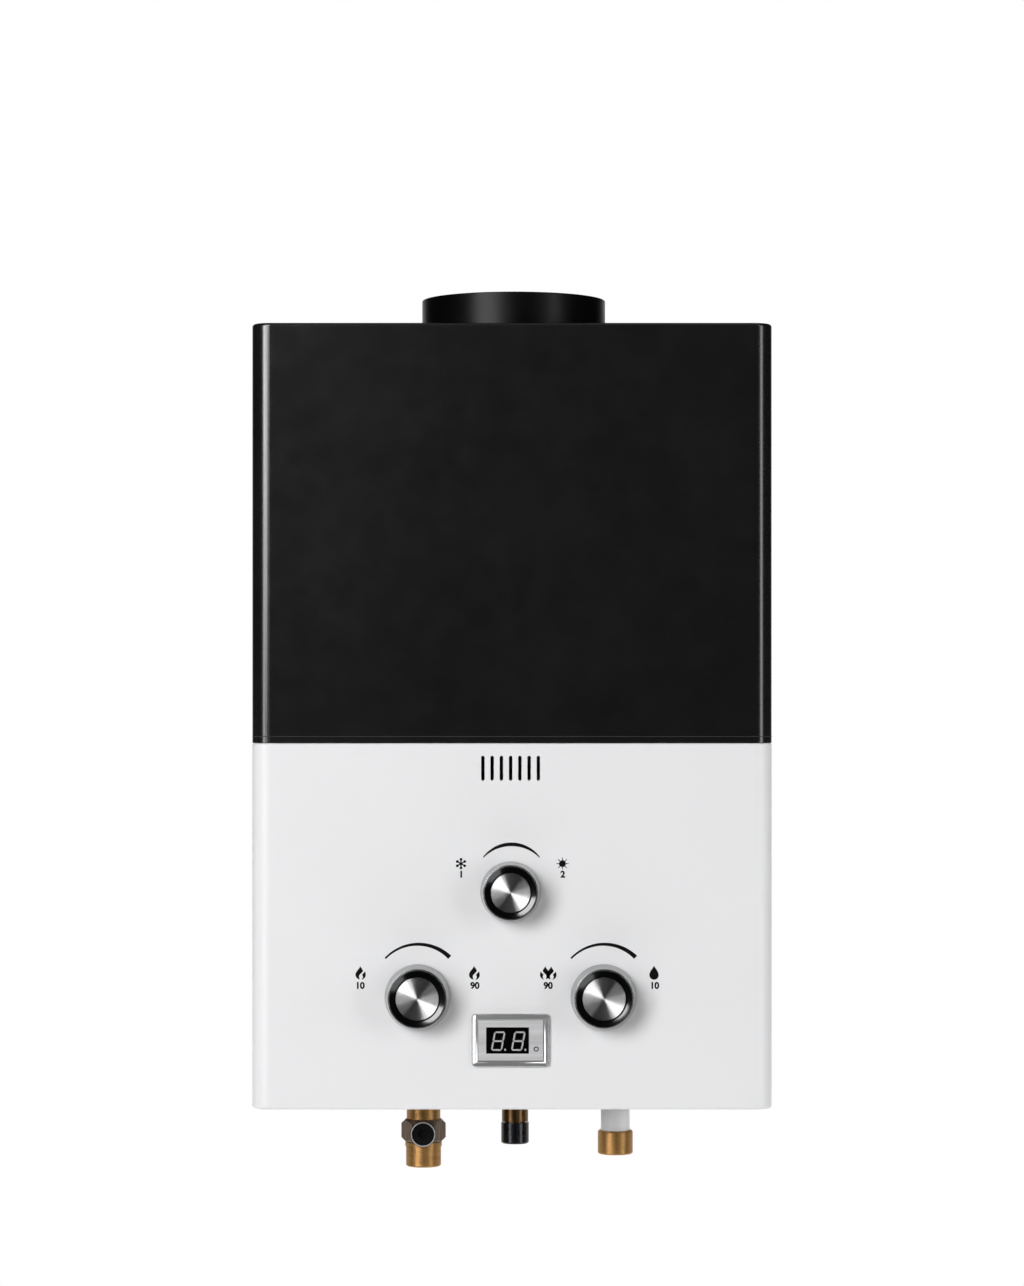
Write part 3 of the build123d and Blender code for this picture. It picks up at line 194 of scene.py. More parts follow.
def metal(name, colour, roughness, stretch, lines):
    """Bare metal with drawn or turned lines along the least stretched axes, and an uneven sheen."""
    finish = Finish(name, colour, roughness, Metallic=1.0)
    fine = finish.noise(900.0, 2.0, stretch)
    sheen = finish.span(fine, 0.3, 0.7, roughness * 0.8, roughness * 1.2)
    finish.set(Roughness=sheen)
    tone = finish.span(finish.noise(300.0, 3.0, stretch), 0.3, 0.7, 0.86, 1.08)
    finish.set(Base_Color=finish.tinted(colour, tone))
    finish.bump(fine, lines)
    return finish


def moulded(name, colour, roughness, texture=0.01, scale=1500.0, **constants):
    """Moulded plastic or rubber: a fine eroded skin with slight flow marks."""
    finish = Finish(name, colour, roughness, **constants)
    flow = finish.span(finish.noise(40.0, 4.0, (1, 1, 0.3)), 0.3, 0.7, 0.9, 1.1)
    finish.set(Base_Color=finish.tinted(colour, flow))
    skin = finish.noise(scale, 2.0)
    finish.set(Roughness=finish.span(skin, 0.3, 0.7, roughness * 0.9, roughness * 1.12))
    finish.bump(skin, texture)
    return finish


def galvanised():
    """Zinc spangle: crystals about a centimetre wide, each with its own tone, sheen and fine grain."""
    finish = Finish("galvanised_sheet", (0.5, 0.51, 0.53), 0.4, Metallic=1.0)
    wander = finish.add("ShaderNodeTexNoise", {"Vector": finish.place, "Scale": 70.0}).outputs[1]
    bent = finish.add("ShaderNodeVectorMath", {0: wander, 3: 0.012}, operation="SCALE").outputs[0]
    where = finish.add("ShaderNodeVectorMath", {0: finish.place, 1: bent}, operation="ADD").outputs[0]
    crystal = finish.cells(95.0, where=where)
    tone, sheen, step = finish.add("ShaderNodeSeparateColor", {0: crystal}).outputs
    finish.set(Base_Color=finish.mix(tone, (0.44, 0.45, 0.47), (0.58, 0.59, 0.61)))
    finish.set(Roughness=finish.span(sheen, 0.0, 1.0, 0.28, 0.52))
    feather = finish.noise(900.0, 3.0, where=where)
    finish.bump(step, 0.008, 0.4)
    finish.bump(feather, 0.003)
    return finish


def copper():
    """Copper with brown heat tint and a few darker blooms."""
    finish = Finish("copper_sheet", (0.78, 0.38, 0.22), 0.32, Metallic=1.0)
    bloom = finish.span(finish.noise(38.0, 5.0), 0.45, 0.7)
    tint = finish.mix(bloom, (0.80, 0.40, 0.25), (0.34, 0.15, 0.09))
    spots = finish.span(finish.noise(260.0, 2.0), 0.62, 0.72, 0.0, 0.5)
    finish.set(Base_Color=finish.mix(spots, tint, (0.20, 0.12, 0.08)))
    finish.set(Roughness=finish.span(bloom, 0.0, 1.0, 0.24, 0.5))
    finish.bump(finish.noise(1400.0, 2.0, (1, 1, 0.08)), 0.004)
    return finish


def heat_tinted():
    """Stainless burner bars: straw and blue heat colours towards the flame ports on top."""
    low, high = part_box("burner_bars")
    finish = Finish("burner_steel", (0.42, 0.40, 0.38), 0.35, Metallic=1.0)
    cloud = finish.maths("MULTIPLY", finish.noise(150.0, 3.0), 0.02)
    level = finish.span(finish.maths("ADD", finish.axes()[2], cloud), low.z + 0.02, high.z + 0.012)
    ramp = finish.add("ShaderNodeValToRGB", {0: level})
    steel, blue = ramp.color_ramp.elements
    steel.position = 0.3
    steel.color = (0.42, 0.40, 0.38, 1)
    blue.position = 0.95
    blue.color = (0.12, 0.17, 0.30, 1)
    for position, colour in ((0.6, (0.46, 0.33, 0.17, 1)), (0.78, (0.27, 0.16, 0.20, 1))):
        ramp.color_ramp.elements.new(position).color = colour
    finish.set(Base_Color=ramp.outputs[0])
    finish.set(Roughness=finish.span(finish.noise(700.0, 2.0, (1, 1, 0.1)), 0.3, 0.7, 0.28, 0.44))
    return finish


def cast_aluminium():
    """Die-cast metal: a fine sandy skin with soft flow shading."""
    grey = (0.52, 0.53, 0.54)
    roughness = 0.5
    finish = Finish("cast_aluminium", grey, roughness, Metallic=1.0)
    flow = finish.span(finish.noise(45.0, 4.0), 0.3, 0.7, 0.85, 1.1)
    finish.set(Base_Color=finish.tinted(grey, flow))
    sand = finish.noise(1300.0, 3.0)
    finish.set(Roughness=finish.span(sand, 0.3, 0.7, roughness * 0.85, roughness * 1.2))
    finish.bump(sand, 0.03)
    return finish


def circuit_board():
    """A green board: copper tracks under the lacquer in two directions and tinned pads."""
    finish = Finish("lacquered_board", (0.01, 0.09, 0.04), 0.3, Coat_Weight=0.5)
    across = finish.cells(700.0, (0.12, 1, 1), output="Distance")
    along = finish.cells(700.0, (1, 1, 0.12), output="Distance")
    tracks = finish.maths("LESS_THAN", finish.maths("MINIMUM", across, along), 0.14)
    pads = finish.maths("LESS_THAN", finish.cells(420.0, output="Distance"), 0.16)
    green = finish.mix(tracks, (0.008, 0.075, 0.035), (0.02, 0.15, 0.06))
    finish.set(Base_Color=finish.mix(pads, green, (0.62, 0.62, 0.60)))
    finish.set(Metallic=pads)
    finish.bump(tracks, 0.03)
    return finish


def glazed_ceramic():
    """Off-white glazed ceramic with fine dark specks."""
    cream = (0.74, 0.71, 0.64)
    finish = Finish("glazed_ceramic", cream, 0.22, Coat_Weight=0.4)
    specks = finish.maths("LESS_THAN", finish.cells(1500.0, output="Distance"), 0.1)
    cloud = finish.span(finish.noise(90.0, 4.0), 0.3, 0.7, 0.9, 1.05)
    finish.set(Base_Color=finish.mix(specks, finish.tinted(cream, cloud), (0.2, 0.17, 0.13)))
    finish.bump(finish.noise(500.0, 2.0), 0.01)
    return finish


def cell_jacket():
    """A battery's sleeve: a copper-coloured end band on a dark jacket, and bare metal at the tips."""
    band_start = 0.72
    tip_start = 0.487
    dark = (0.02, 0.02, 0.022)
    low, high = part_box("batteries")
    finish = Finish("cell_jacket", dark, 0.25)
    share = finish.span(finish.axes()[0], low.x, high.x)
    band = finish.maths("GREATER_THAN", share, band_start)
    off_middle = finish.maths("ABSOLUTE", finish.maths("SUBTRACT", share, 0.5))
    tips = finish.maths("GREATER_THAN", off_middle, tip_start)
    jacket = finish.mix(band, dark, (0.45, 0.20, 0.07))
    finish.set(Base_Color=finish.mix(tips, jacket, (0.6, 0.6, 0.6)))
    finish.set(Metallic=finish.maths("MAXIMUM", band, tips))
    finish.set(Roughness=finish.span(finish.noise(300.0, 3.0), 0.3, 0.7, 0.2, 0.34))
    return finish


def plating(name, colour, roughness, share):
    """Satin plating: a trace of haze and wiping marks; share is how much of it is bare metal."""
    finish = Finish(name, colour, roughness, Metallic=share)
    haze = finish.noise(220.0, 4.0)
    finish.set(Roughness=finish.span(haze, 0.35, 0.7, roughness * 0.85, roughness * 1.2))
    tone = finish.span(haze, 0.3, 0.7, 0.97, 1.03)
    finish.set(Base_Color=finish.tinted(colour, tone))
    finish.bump(finish.noise(180.0, 1.0), 0.0005)
    return finish


def spun_metal(name, centre):
    """A face turned on a lathe: rings round its centre and stretched highlights, with painted reflection in
    its colour, lighter and darker sectors round the centre.
    """
    aluminium = (0.84, 0.84, 0.85)
    finish = Finish(name, aluminium, 0.33, Metallic=1.0, Anisotropic=1.0, Anisotropic_Rotation=0.25)
    tangent = finish.add("ShaderNodeTangent", direction_type="RADIAL", axis="Y")
    finish.set(Tangent=tangent.outputs[0])
    where = finish.mapped((1, 0, 1), centre)
    reach = finish.add("ShaderNodeVectorMath", {0: where}, operation="LENGTH").outputs["Value"]
    turned = finish.add("ShaderNodeCombineXYZ", {0: reach}).outputs[0]
    rings = finish.noise(6500.0, 2.0, where=turned)
    # Painted reflection: the colour goes lighter and darker in sectors round the centre, standing in for the
    # wedge reflections of a spun face.
    round_about = finish.add("ShaderNodeVectorMath", {0: where}, operation="NORMALIZE").outputs[0]
    painted_wedge_noise = finish.noise(22.0, 3.0, where=round_about, roughness=0.7)
    finish.set(Roughness=finish.span(rings, 0.3, 0.7, 0.31, 0.35))
    painted_wedge_tone = finish.span(painted_wedge_noise, 0.3, 0.7, 0.82, 1.12)
    finish.set(Base_Color=finish.tinted(aluminium, painted_wedge_tone))
    finish.bump(rings, 0.0012)
    return finish


def brushed_plate():
    """A satin plate brushed along its length under a thin lacquer."""
    finish = metal("brushed_plate", (0.62, 0.62, 0.63), 0.42, (0.02, 1, 1), 0.002)
    finish.set(Metallic=0.25, Coat_Weight=0.3)
    return finish


def weathered_brass(name, colour, stain, roughness, grain):
    """Handled brass: brown stains in soft patches, darker pits and lines left by the tool."""
    finish = Finish(name, colour, roughness, Metallic=1.0)
    patches = finish.span(finish.noise(140.0, 5.0, grain), 0.38, 0.66, 0.0, 0.5)
    body = finish.mix(patches, colour, stain)
    pits = finish.span(finish.noise(1100.0, 2.0), 0.66, 0.74, 0.0, 0.6)
    finish.set(Base_Color=finish.mix(pits, body, [value * 0.35 for value in stain]))
    lines = finish.noise(1500.0, 2.0, grain)
    finish.set(Roughness=finish.span(lines, 0.3, 0.7, roughness * 0.8, roughness * 1.25))
    finish.bump(lines, 0.006)
    finish.bump(pits, 0.01)
    return finish


def tee_brass():
    """The tee: golden turned ends, and a brown-grey drawn body with its grain upright."""
    finish = weathered_brass("aged_brass", (0.54, 0.31, 0.115), (0.31, 0.135, 0.04), 0.42, (1, 1, 12))
    turned = finish.shader.inputs["Base Color"].links[0].from_socket
    port = middle_of("relief_plug")
    x, y, z = finish.axes()
    off = finish.maths("ABSOLUTE", finish.maths("SUBTRACT", z, port.z + TEE_PORT_DROP * MM))
    body = finish.maths("LESS_THAN", off, (TEE_BODY_HEIGHT / 2 - 0.05) * MM)
    grain = finish.noise(900.0, 3.0, (1, 1, 0.06), roughness=0.6)
    cloud = finish.noise(160.0, 3.0, (1, 1, 0.4))
    brown = finish.mix(finish.span(grain, 0.35, 0.65), (0.105, 0.074, 0.05), (0.26, 0.195, 0.14))
    drawn = finish.mix(finish.span(cloud, 0.45, 0.65, 0.0, 0.55), brown, (0.21, 0.125, 0.065))
    across = finish.maths("SUBTRACT", x, port.x)
    down = finish.maths("SUBTRACT", z, port.z)
    squares = [finish.maths("MULTIPLY", side, side) for side in (across, down)]
    reach = finish.maths("SQRT", finish.maths("ADD", *squares))
    inside = finish.maths("LESS_THAN", reach, TEE_RIM_RADIUS * MM)
    ahead = finish.maths("LESS_THAN", y, TEE_RIM_BACK * MM)
    rim = finish.maths("MULTIPLY", inside, ahead)
    finish.set(Base_Color=finish.mix(rim, finish.mix(body, turned, drawn), (0.86, 0.88, 0.87)))
    finish.bump(finish.maths("MULTIPLY", grain, body), 0.02)
    return finish


def print_ink():
    """Screen-printed black, a little uneven."""
    finish = Finish("printed_black", (0.002, 0.002, 0.0021), 0.5, Specular_IOR_Level=0.12)
    finish.bump(finish.noise(1800.0, 2.0), 0.004)
    finish.set(Roughness=finish.span(finish.noise(500.0, 2.0), 0.3, 0.7, 0.4, 0.52))
    return finish


def segment_grey():
    """The pale grey of a display's segments while it is off."""
    grey = (0.40, 0.40, 0.41)
    finish = Finish("segment_grey", grey, 0.45)
    speckle = finish.span(finish.noise(2500.0, 2.0), 0.3, 0.7, 0.85, 1.12)
    finish.set(Base_Color=finish.tinted(grey, speckle))
    return finish


# Meshes

def rounded(corners, closed=True):
    """A profile of (radius, reach, rounding) corners, in millimetres, with each corner made an arc.

    A point just beyond each end of an arc keeps the flat parts evenly shaded."""
    points = []
    for index, (radius, reach, size) in enumerate(corners):
        here = Vector((radius, reach))
        at_end = not closed and index in (0, len(corners) - 1)
        if size == 0 or at_end:
            points.append(here)
            continue
        before = (Vector(corners[index - 1][:2]) - here).normalized()
        after = (Vector(corners[(index + 1) % len(corners)][:2]) - here).normalized()
        half = before.angle(after) / 2
        cut = size / math.tan(half)
        centre = here + (before + after).normalized() * size / math.sin(half)
        first = here + before * cut
        last = here + after * cut
        points.append(first + before * ARC_MARGIN)
        for part in range(ARC_PARTS + 1):
            swing = (first - centre).slerp(last - centre, part / ARC_PARTS)
            points.append(centre + swing.normalized() * size)
        points.append(last + after * ARC_MARGIN)
    return points


def turned_piece(name, profile, centre):
    """Turn a closed profile of (radius, reach) in millimetres about the line from centre to the front."""
    side = OUT.orthogonal().normalized()
    up = OUT.cross(side)
    turns = [2 * math.pi * step / TURN_STEPS for step in range(TURN_STEPS)]
    bm = bmesh.new()
    rings = []
    for radius, reach in profile:
        middle = centre + OUT * reach * MM
        spots = [middle]
        if radius:
            spots = [middle + (side * math.cos(turn) + up * math.sin(turn)) * radius * MM for turn in turns]
        rings.append([bm.verts.new(spot) for spot in spots])
    bridge(bm, rings)
    return as_mesh(bm, name)


def bridge(bm, rings):
    """Join rings of points with faces, and the last to the first; a ring of one point is a tip."""
    for ring, after in zip(rings, rings[1:] + rings[:1]):
        count = max(len(ring), len(after))
        if count == 1:
            continue
        for step in range(count):
            following = (step + 1) % count
            corners = [ring[step % len(ring)], ring[following % len(ring)]]
            corners += [after[following % len(after)], after[step % len(after)]]
            bm.faces.new(dict.fromkeys(corners))


def as_mesh(bm, name):
    """Turn a bmesh into a mesh with merged points and faces that point outwards."""
    bmesh.ops.remove_doubles(bm, verts=bm.verts, dist=SAME_POINT)
    bmesh.ops.recalc_face_normals(bm, faces=bm.faces)
    mesh = bpy.data.meshes.new(name)
    bm.to_mesh(mesh)
    bm.free()
    return mesh


def show(name, mesh, material, body, slot, *stands_for):
    """Put a finished mesh in the scene on its body, smooth up to its sharp edges."""
    obj = bpy.data.objects.new(name, mesh)
    bpy.context.scene.collection.objects.link(obj)
    mesh.materials.clear()
    mesh.materials.append(material)
    mesh.polygons.foreach_set("use_smooth", [True] * len(mesh.polygons))
    mesh.set_sharp_from_angle(angle=SHARP_ANGLE)
    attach(obj, body)
    if stands_for:
        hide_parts(*stands_for)
    return obj


def middle_of(node):
    """The middle of a node's box."""
    low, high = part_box(node)
    return (low + high) / 2


def flat_marks(outlines, reach, thickness):
    """Closed outlines of (x, z) in millimetres as a thin solid print about the plane y = reach."""
    curve = bpy.data.curves.new("marks", "CURVE")
    curve.dimensions = "2D"
    curve.fill_mode = "BOTH"
    curve.extrude = thickness * MM / 2
    for outline in outlines:
        spline = curve.splines.new("POLY")
        spline.points.add(len(outline) - 1)
        for point, (x, z) in zip(spline.points, outline):
            point.co = (x * MM, z * MM, 0, 1)
        spline.use_cyclic_u = True
    return stood_up(curve, reach)


def stood_up(curve, reach):
    """Turn a filled curve or a text into a mesh that faces the front about the plane y = reach."""
    mesh = plain_mesh(bpy.data.objects.new("marks", curve))
    mesh.transform(Matrix.Translation((0, reach, 0)) @ Matrix.Rotation(math.pi / 2, 4, "X"))
    return mesh


def plain_mesh(obj):
    """The mesh that a new object comes to with its modifiers; the object itself goes."""
    bpy.context.scene.collection.objects.link(obj)
    bpy.context.view_layer.update()
    evaluated = obj.evaluated_get(bpy.context.evaluated_depsgraph_get())
    mesh = bpy.data.meshes.new_from_object(evaluated)
    bpy.data.objects.remove(obj)
    return mesh


def joined(name, *meshes):
    """One mesh of several, or of one, with its points merged."""
    bm = bmesh.new()
    for mesh in meshes:
        bm.from_mesh(mesh)
        bpy.data.meshes.remove(mesh)
    return as_mesh(bm, name)


# Geometry Nodes

class Tree:
    """A tree of Geometry Nodes while it is made: its named inputs and the nodes that use them."""

    def __init__(self, name):
        self.group = bpy.data.node_groups.new(name, "GeometryNodeTree")
        self.group.interface.new_socket("Geometry", in_out="OUTPUT", socket_type="NodeSocketGeometry")
        self.group.interface.new_socket("Geometry", in_out="INPUT", socket_type="NodeSocketGeometry")
        self.start = self.group.nodes.new("NodeGroupInput")
        self.base = self.start.outputs["Geometry"]

    def length(self, name, value):
        """A named input in metres."""
        socket = self.group.interface.new_socket(name, in_out="INPUT", socket_type="NodeSocketFloat")
        socket.subtype = "DISTANCE"
        socket.default_value = value
        return self.start.outputs[name]

    def add(self, kind, inputs=None, **settings):
        """Add a node to this tree; its first output comes back."""
        return add_node(self.group, kind, inputs, **settings).outputs[0]

    def vector(self, x, y, z):
        """A vector of three numbers."""
        return self.add("ShaderNodeCombineXYZ", {0: x, 1: y, 2: z})

    def times(self, value, factor):
        """A number times a factor."""
        return self.add("ShaderNodeMath", {0: value, 1: factor}, operation="MULTIPLY")

    def moved(self, geometry, **how):
        """A piece of geometry moved, turned or scaled."""
        return self.add("GeometryNodeTransform", {"Geometry": geometry, **how})

    def on_points(self, piece, **how):
        """One copy of a piece on every point of the base."""
        return self.add("GeometryNodeInstanceOnPoints", {"Points": self.base, "Instance": piece, **how})

    def merged(self, operation, first, second):
        """The Boolean of two solid pieces."""
        node = add_node(self.group, "GeometryNodeMeshBoolean", operation=operation, solver="EXACT")
        self.group.links.new(first, node.inputs[0 if operation == "DIFFERENCE" else 1])
        self.group.links.new(second, node.inputs[1])
        return node.outputs[0]

    def swept(self, path, radius, sides):
        """A round bar that follows a curve, with closed ends."""
        ring = self.add("GeometryNodeCurvePrimitiveCircle", {"Resolution": sides, "Radius": radius})
        return self.add("GeometryNodeCurveToMesh", {"Curve": path, "Profile Curve": ring, "Fill Caps": True})

    def close(self, geometry, material):
        """End the tree: real geometry with its material set."""
        real = self.add("GeometryNodeRealizeInstances", {0: geometry})
        painted = self.add("GeometryNodeSetMaterial", {"Geometry": real, "Material": material})
        add_node(self.group, "NodeGroupOutput", {0: painted})
        return self.group


def screw_tree(material):
    """Pan-head screws with a cross recess, one on every point of the base and turned to its facing."""
    tree = Tree("screws")
    radius = tree.length("Head radius", 3.4 * MM)
    height = tree.length("Head height", 1.6 * MM)
    shank = tree.length("Shank radius", 1.75 * MM)
    reach = tree.length("Shank length", 7.0 * MM)
    slot = tree.length("Recess width", 0.75 * MM)
    depth = tree.length("Recess depth", 0.9 * MM)
    drum = tree.add("GeometryNodeMeshCylinder", {"Vertices": 40, "Radius": radius, "Depth": height})
    drum = tree.moved(drum, Translation=tree.vector(0.0, 0.0, tree.times(height, 0.5)))
    wide = tree.times(radius, 1.1)
    dome = tree.add("GeometryNodeMeshUVSphere", {"Segments": 40, "Rings": 28, "Radius": 1.0})
    dome = tree.moved(dome, Scale=tree.vector(wide, wide, height))
    head = tree.merged("INTERSECT", drum, dome)
    rod = tree.add("GeometryNodeMeshCylinder", {"Vertices": 28, "Radius": shank, "Depth": reach})
    sunk = tree.add("ShaderNodeMath", {0: tree.times(reach, -0.5), 1: 0.1 * MM}, operation="ADD")
    rod = tree.moved(rod, Translation=tree.vector(0.0, 0.0, sunk))
    body = tree.merged("UNION", head, rod)
    bar = tree.vector(tree.times(radius, 1.05), slot, tree.times(depth, 2.0))
    cut = tree.add("GeometryNodeMeshCube", {"Size": bar})
    cut = tree.moved(cut, Translation=tree.vector(0.0, 0.0, height))
    cross_cut = tree.moved(cut, Rotation=(0.0, 0.0, math.pi / 2))
    screw = tree.merged("DIFFERENCE", tree.merged("DIFFERENCE", body, cut), cross_cut)
    facing = tree.add("GeometryNodeInputNamedAttribute", {"Name": "facing"}, data_type="FLOAT_VECTOR")
    turned = tree.add("FunctionNodeAlignRotationToVector", {"Vector": facing}, axis="Z")
    return tree.close(tree.on_points(screw, Rotation=turned), material)


def shade_cord_tree(material):
    """A round cord that follows the base's line; laid in the seam it is painted shade, a dark bead where the
    covers' shadow line falls.
    """
    tree = Tree("cord")
    radius = tree.length("Shade cord radius", 0.3 * MM)
    path = tree.add("GeometryNodeMeshToCurve", {"Mesh": tree.base})
    return tree.close(tree.swept(path, radius, 12), material)


def spring_tree(material):
    """A spring of round wire, wound towards +X from every point of the base."""
    tree = Tree("spring")
    wire = tree.length("Wire radius", 0.6 * MM)
    coil = tree.length("Coil radius", 5.0 * MM)
    reach = tree.length("Spring length", 20.0 * MM)
    path = tree.add("GeometryNodeCurveSpiral", {
        "Resolution": 32,
        "Rotations": float(SPRING_TURNS),
        "Start Radius": coil,
        "End Radius": coil,
        "Height": reach,
    })
    spring = tree.moved(tree.swept(path, wire, 10), Rotation=(0.0, math.pi / 2, 0.0))
    return tree.close(tree.on_points(spring), material)


def grown(base, tree, values):
    """The plain mesh that a tree makes from a base mesh, with its inputs set by name."""
    obj = bpy.data.objects.new("base", base)
    modifier = obj.modifiers.new("tree", "NODES")
    modifier.node_group = tree
    for item in tree.interface.items_tree:
        if item.in_out == "INPUT" and item.name in values:
            modifier[item.identifier] = values[item.name]
    return plain_mesh(obj)


def seats(points, facings):
    """A base mesh of loose points that each keep the way they face."""
    mesh = bpy.data.meshes.new("seats")
    mesh.from_pydata(points, [], [])
    attribute = mesh.attributes.new("facing", "FLOAT_VECTOR", "POINT")
    for item, facing in zip(attribute.data, facings):
        item.vector = facing
    return mesh


# Outlines for the panel print, in millimetres round their own middle

def circle(radius, x=0.0, z=0.0, steps=40):
    """A round outline."""
    turns = [2 * math.pi * step / steps for step in range(steps)]
    return [(x + radius * math.cos(turn), z + radius * math.sin(turn)) for turn in turns]


def placed(outline, x, z, scale=1.0, turn=0.0):
    """An outline scaled, turned and moved."""
    cos, sin = math.cos(turn), math.sin(turn)
    return [(x + scale * (u * cos - v * sin), z + scale * (u * sin + v * cos)) for u, v in outline]


def curved(*pieces):
    """A closed outline through bezier pieces, each (start, first handle, second handle, end)."""
    steps = 10
    outline = []
    for corners in pieces:
        for step in range(steps):
            t = step / steps
            s = 1 - t
            weights = (s ** 3, 3 * s * s * t, 3 * s * t * t, t ** 3)
            outline.append(tuple(sum(w * c[axis] for w, c in zip(weights, corners)) for axis in (0, 1)))
    return outline


def swept_wedge(centre, radius, start, end, width):
    """A curved wedge mark; width gives its thickness from its start, 0, to its end, 1."""
    steps = 48
    outer, inner = [], []
    for step in range(steps + 1):
        share = step / steps
        turn = math.radians(start + (end - start) * share)
        half = width(share) / 2
        for side, reach in ((outer, radius + half), (inner, radius - half)):
            side.append((centre[0] + reach * math.cos(turn), centre[1] + reach * math.sin(turn)))
    return outer + inner[::-1]


def drop_outline():
    """A water drop, 5.4 wide and 8.2 high."""
    return curved(
        ((0, 4.2), (0.5, 2.9), (2.7, 0.9), (2.7, -1.35)),
        ((2.7, -1.35), (2.7, -2.9), (1.5, -4.0), (0, -4.0)),
        ((0, -4.0), (-1.5, -4.0), (-2.7, -2.9), (-2.7, -1.35)),
        ((-2.7, -1.35), (-2.7, 0.9), (-0.5, 2.9), (0, 4.2)),
    )


def flame_outlines():
    """A flame, 6.2 wide and 8.4 high: a body and a side tongue round a bare heart."""
    body = curved(
        ((-0.2, 4.2), (0.1, 3.4), (0.9, 2.5), (1.5, 1.3)),
        ((1.5, 1.3), (1.3, 0.5), (0.5, 0.0), (0.0, -0.6)),
        ((0.0, -0.6), (-0.6, -1.2), (-1.0, -1.7), (-0.9, -2.3)),
        ((-0.9, -2.3), (-0.8, -2.9), (-0.6, -3.4), (-0.5, -4.0)),
        ((-0.5, -4.0), (-1.9, -3.7), (-3.1, -2.7), (-3.1, -1.1)),
        ((-3.1, -1.1), (-3.1, 0.9), (-0.6, 2.3), (-0.2, 4.2)),
    )
    tongue = curved(
        ((2.6, 0.9), (3.1, 0.1), (3.2, -0.8), (3.1, -1.8)),
        ((3.1, -1.8), (2.9, -2.9), (1.9, -3.9), (0.6, -4.2)),
        ((0.6, -4.2), (1.2, -3.4), (1.5, -2.8), (1.4, -2.2)),
        ((1.4, -2.2), (1.3, -1.6), (1.0, -1.4), (1.0, -0.9)),
        ((1.0, -0.9), (1.6, -0.4), (2.2, 0.1), (2.6, 0.9)),
    )
    return [body, tongue]


def sun_outlines():
    """A sun: a round core and eight tapered rays."""
    ray = [(-0.3, 2.05), (0.3, 2.05), (0.14, 3.7), (-0.14, 3.7)]
    return [circle(2.0)] + [placed(ray, 0, 0, turn=math.pi / 4 * index) for index in range(8)]


def snow_outlines():
    """A snowflake: six short spokes with round ends about a round middle."""
    spoke = [(-0.4, 0.8), (0.4, 0.8), (0.4, 1.8), (-0.4, 1.8)]
    shapes = [circle(0.9)]
    for index in range(6):
        turn = math.pi / 3 * index
        shapes.append(placed(spoke, 0, 0, turn=turn))
        shapes.append(circle(0.82, -2.5 * math.sin(turn), 2.5 * math.cos(turn), 24))
    return shapes


# Sizes and colours that a user would change

def length(name, default, description):
    """A length property in metres, given in millimetres."""
    return bpy.props.FloatProperty(
        name=name, description=description, default=default * MM, subtype="DISTANCE", unit="LENGTH"
    )


def shade(name, default, description):
    """A colour property."""
    return bpy.props.FloatVectorProperty(
        name=name, description=description, default=default, size=3, subtype="COLOR", min=0.0, max=1.0
    )


def amount(name, default, description):
    """A plain number property."""
    return bpy.props.FloatProperty(name=name, description=description, default=default)


class HeaterPaint(bpy.types.PropertyGroup):
    black: shade("Black", (0.0054, 0.0054, 0.0056), "Colour of the upper cover")
    white: shade("White", (0.80, 0.80, 0.81), "Colour of the lower cover")
    gloss: shade("Collar", (0.0012, 0.0012, 0.0013), "Colour of the flue collar")


class HeaterKnobs(bpy.types.PropertyGroup):
    crown_inset: length("Crown inset", 0.5, "From the ring's wall to its crown")
    dish_drop: length("Dish drop", 1.1, "From the ring's crown down to the dish's floor")


class HeaterPrint(bpy.types.PropertyGroup):
    thickness: length("Ink thickness", 0.03, "Thickness of the printed ink")
    digit_height: length("Digit height", 3.8, "Height of the printed numbers")


class HeaterDisplay(bpy.types.PropertyGroup):
    digit_height: length("Digit height", 11.3, "Height of one display digit")
    digit_width: length("Digit width", 6.6, "Width of one display digit")
    stroke: length("Stroke", 0.95, "Width of one segment")
    slant: amount("Slant", 0.19, "Sideways lean for each unit of height")


class HeaterFastenings(bpy.types.PropertyGroup):
    recess_width: length("Recess width", 0.75, "Width of each arm of the cross recess")
    recess_depth: length("Recess depth", 0.9, "Depth of the cross recess of the side screws")
    # The cord in the seam is painted shade: a dark bead that stands in for the shadow line between the
    # covers.
    shade_cord_radius: length("Shade cord radius", 0.3, "Radius of the rubber cord in the seam of the covers")
    shade_cord_depth: length("Shade cord depth", 0.2, "Depth of the cord's middle under the skin")
    spring_wire: length("Spring wire", 0.6, "Radius of the wire of the gas valve's spring")
    poppet_stroke: length("Poppet stroke", 3.0, "How far the gas poppet slides against its spring")


class HeaterStudio(bpy.types.PropertyGroup):
    key: amount("Key radiance", 7.0, "Radiance of the key softbox at the upper left")
    second: amount("Second radiance", 2.8, "Radiance of the small softbox at the upper right")
    low: amount("Low radiance", 1.2, "Radiance of the softbox at the lower right")
    left: amount("Left strip radiance", 4.4, "Radiance of the left strip softbox")
    right: amount("Right strip radiance", 3.0, "Radiance of the right strip softbox")
    ceiling: amount("Ceiling radiance", 0.4, "Radiance of the softbox overhead")
    bounce: amount("Bounce radiance", 2.0, "Radiance of the reflectors at the sides and below")
    ambient: amount("Ambient", 0.015, "Strength of the surroundings in front")


# Operators

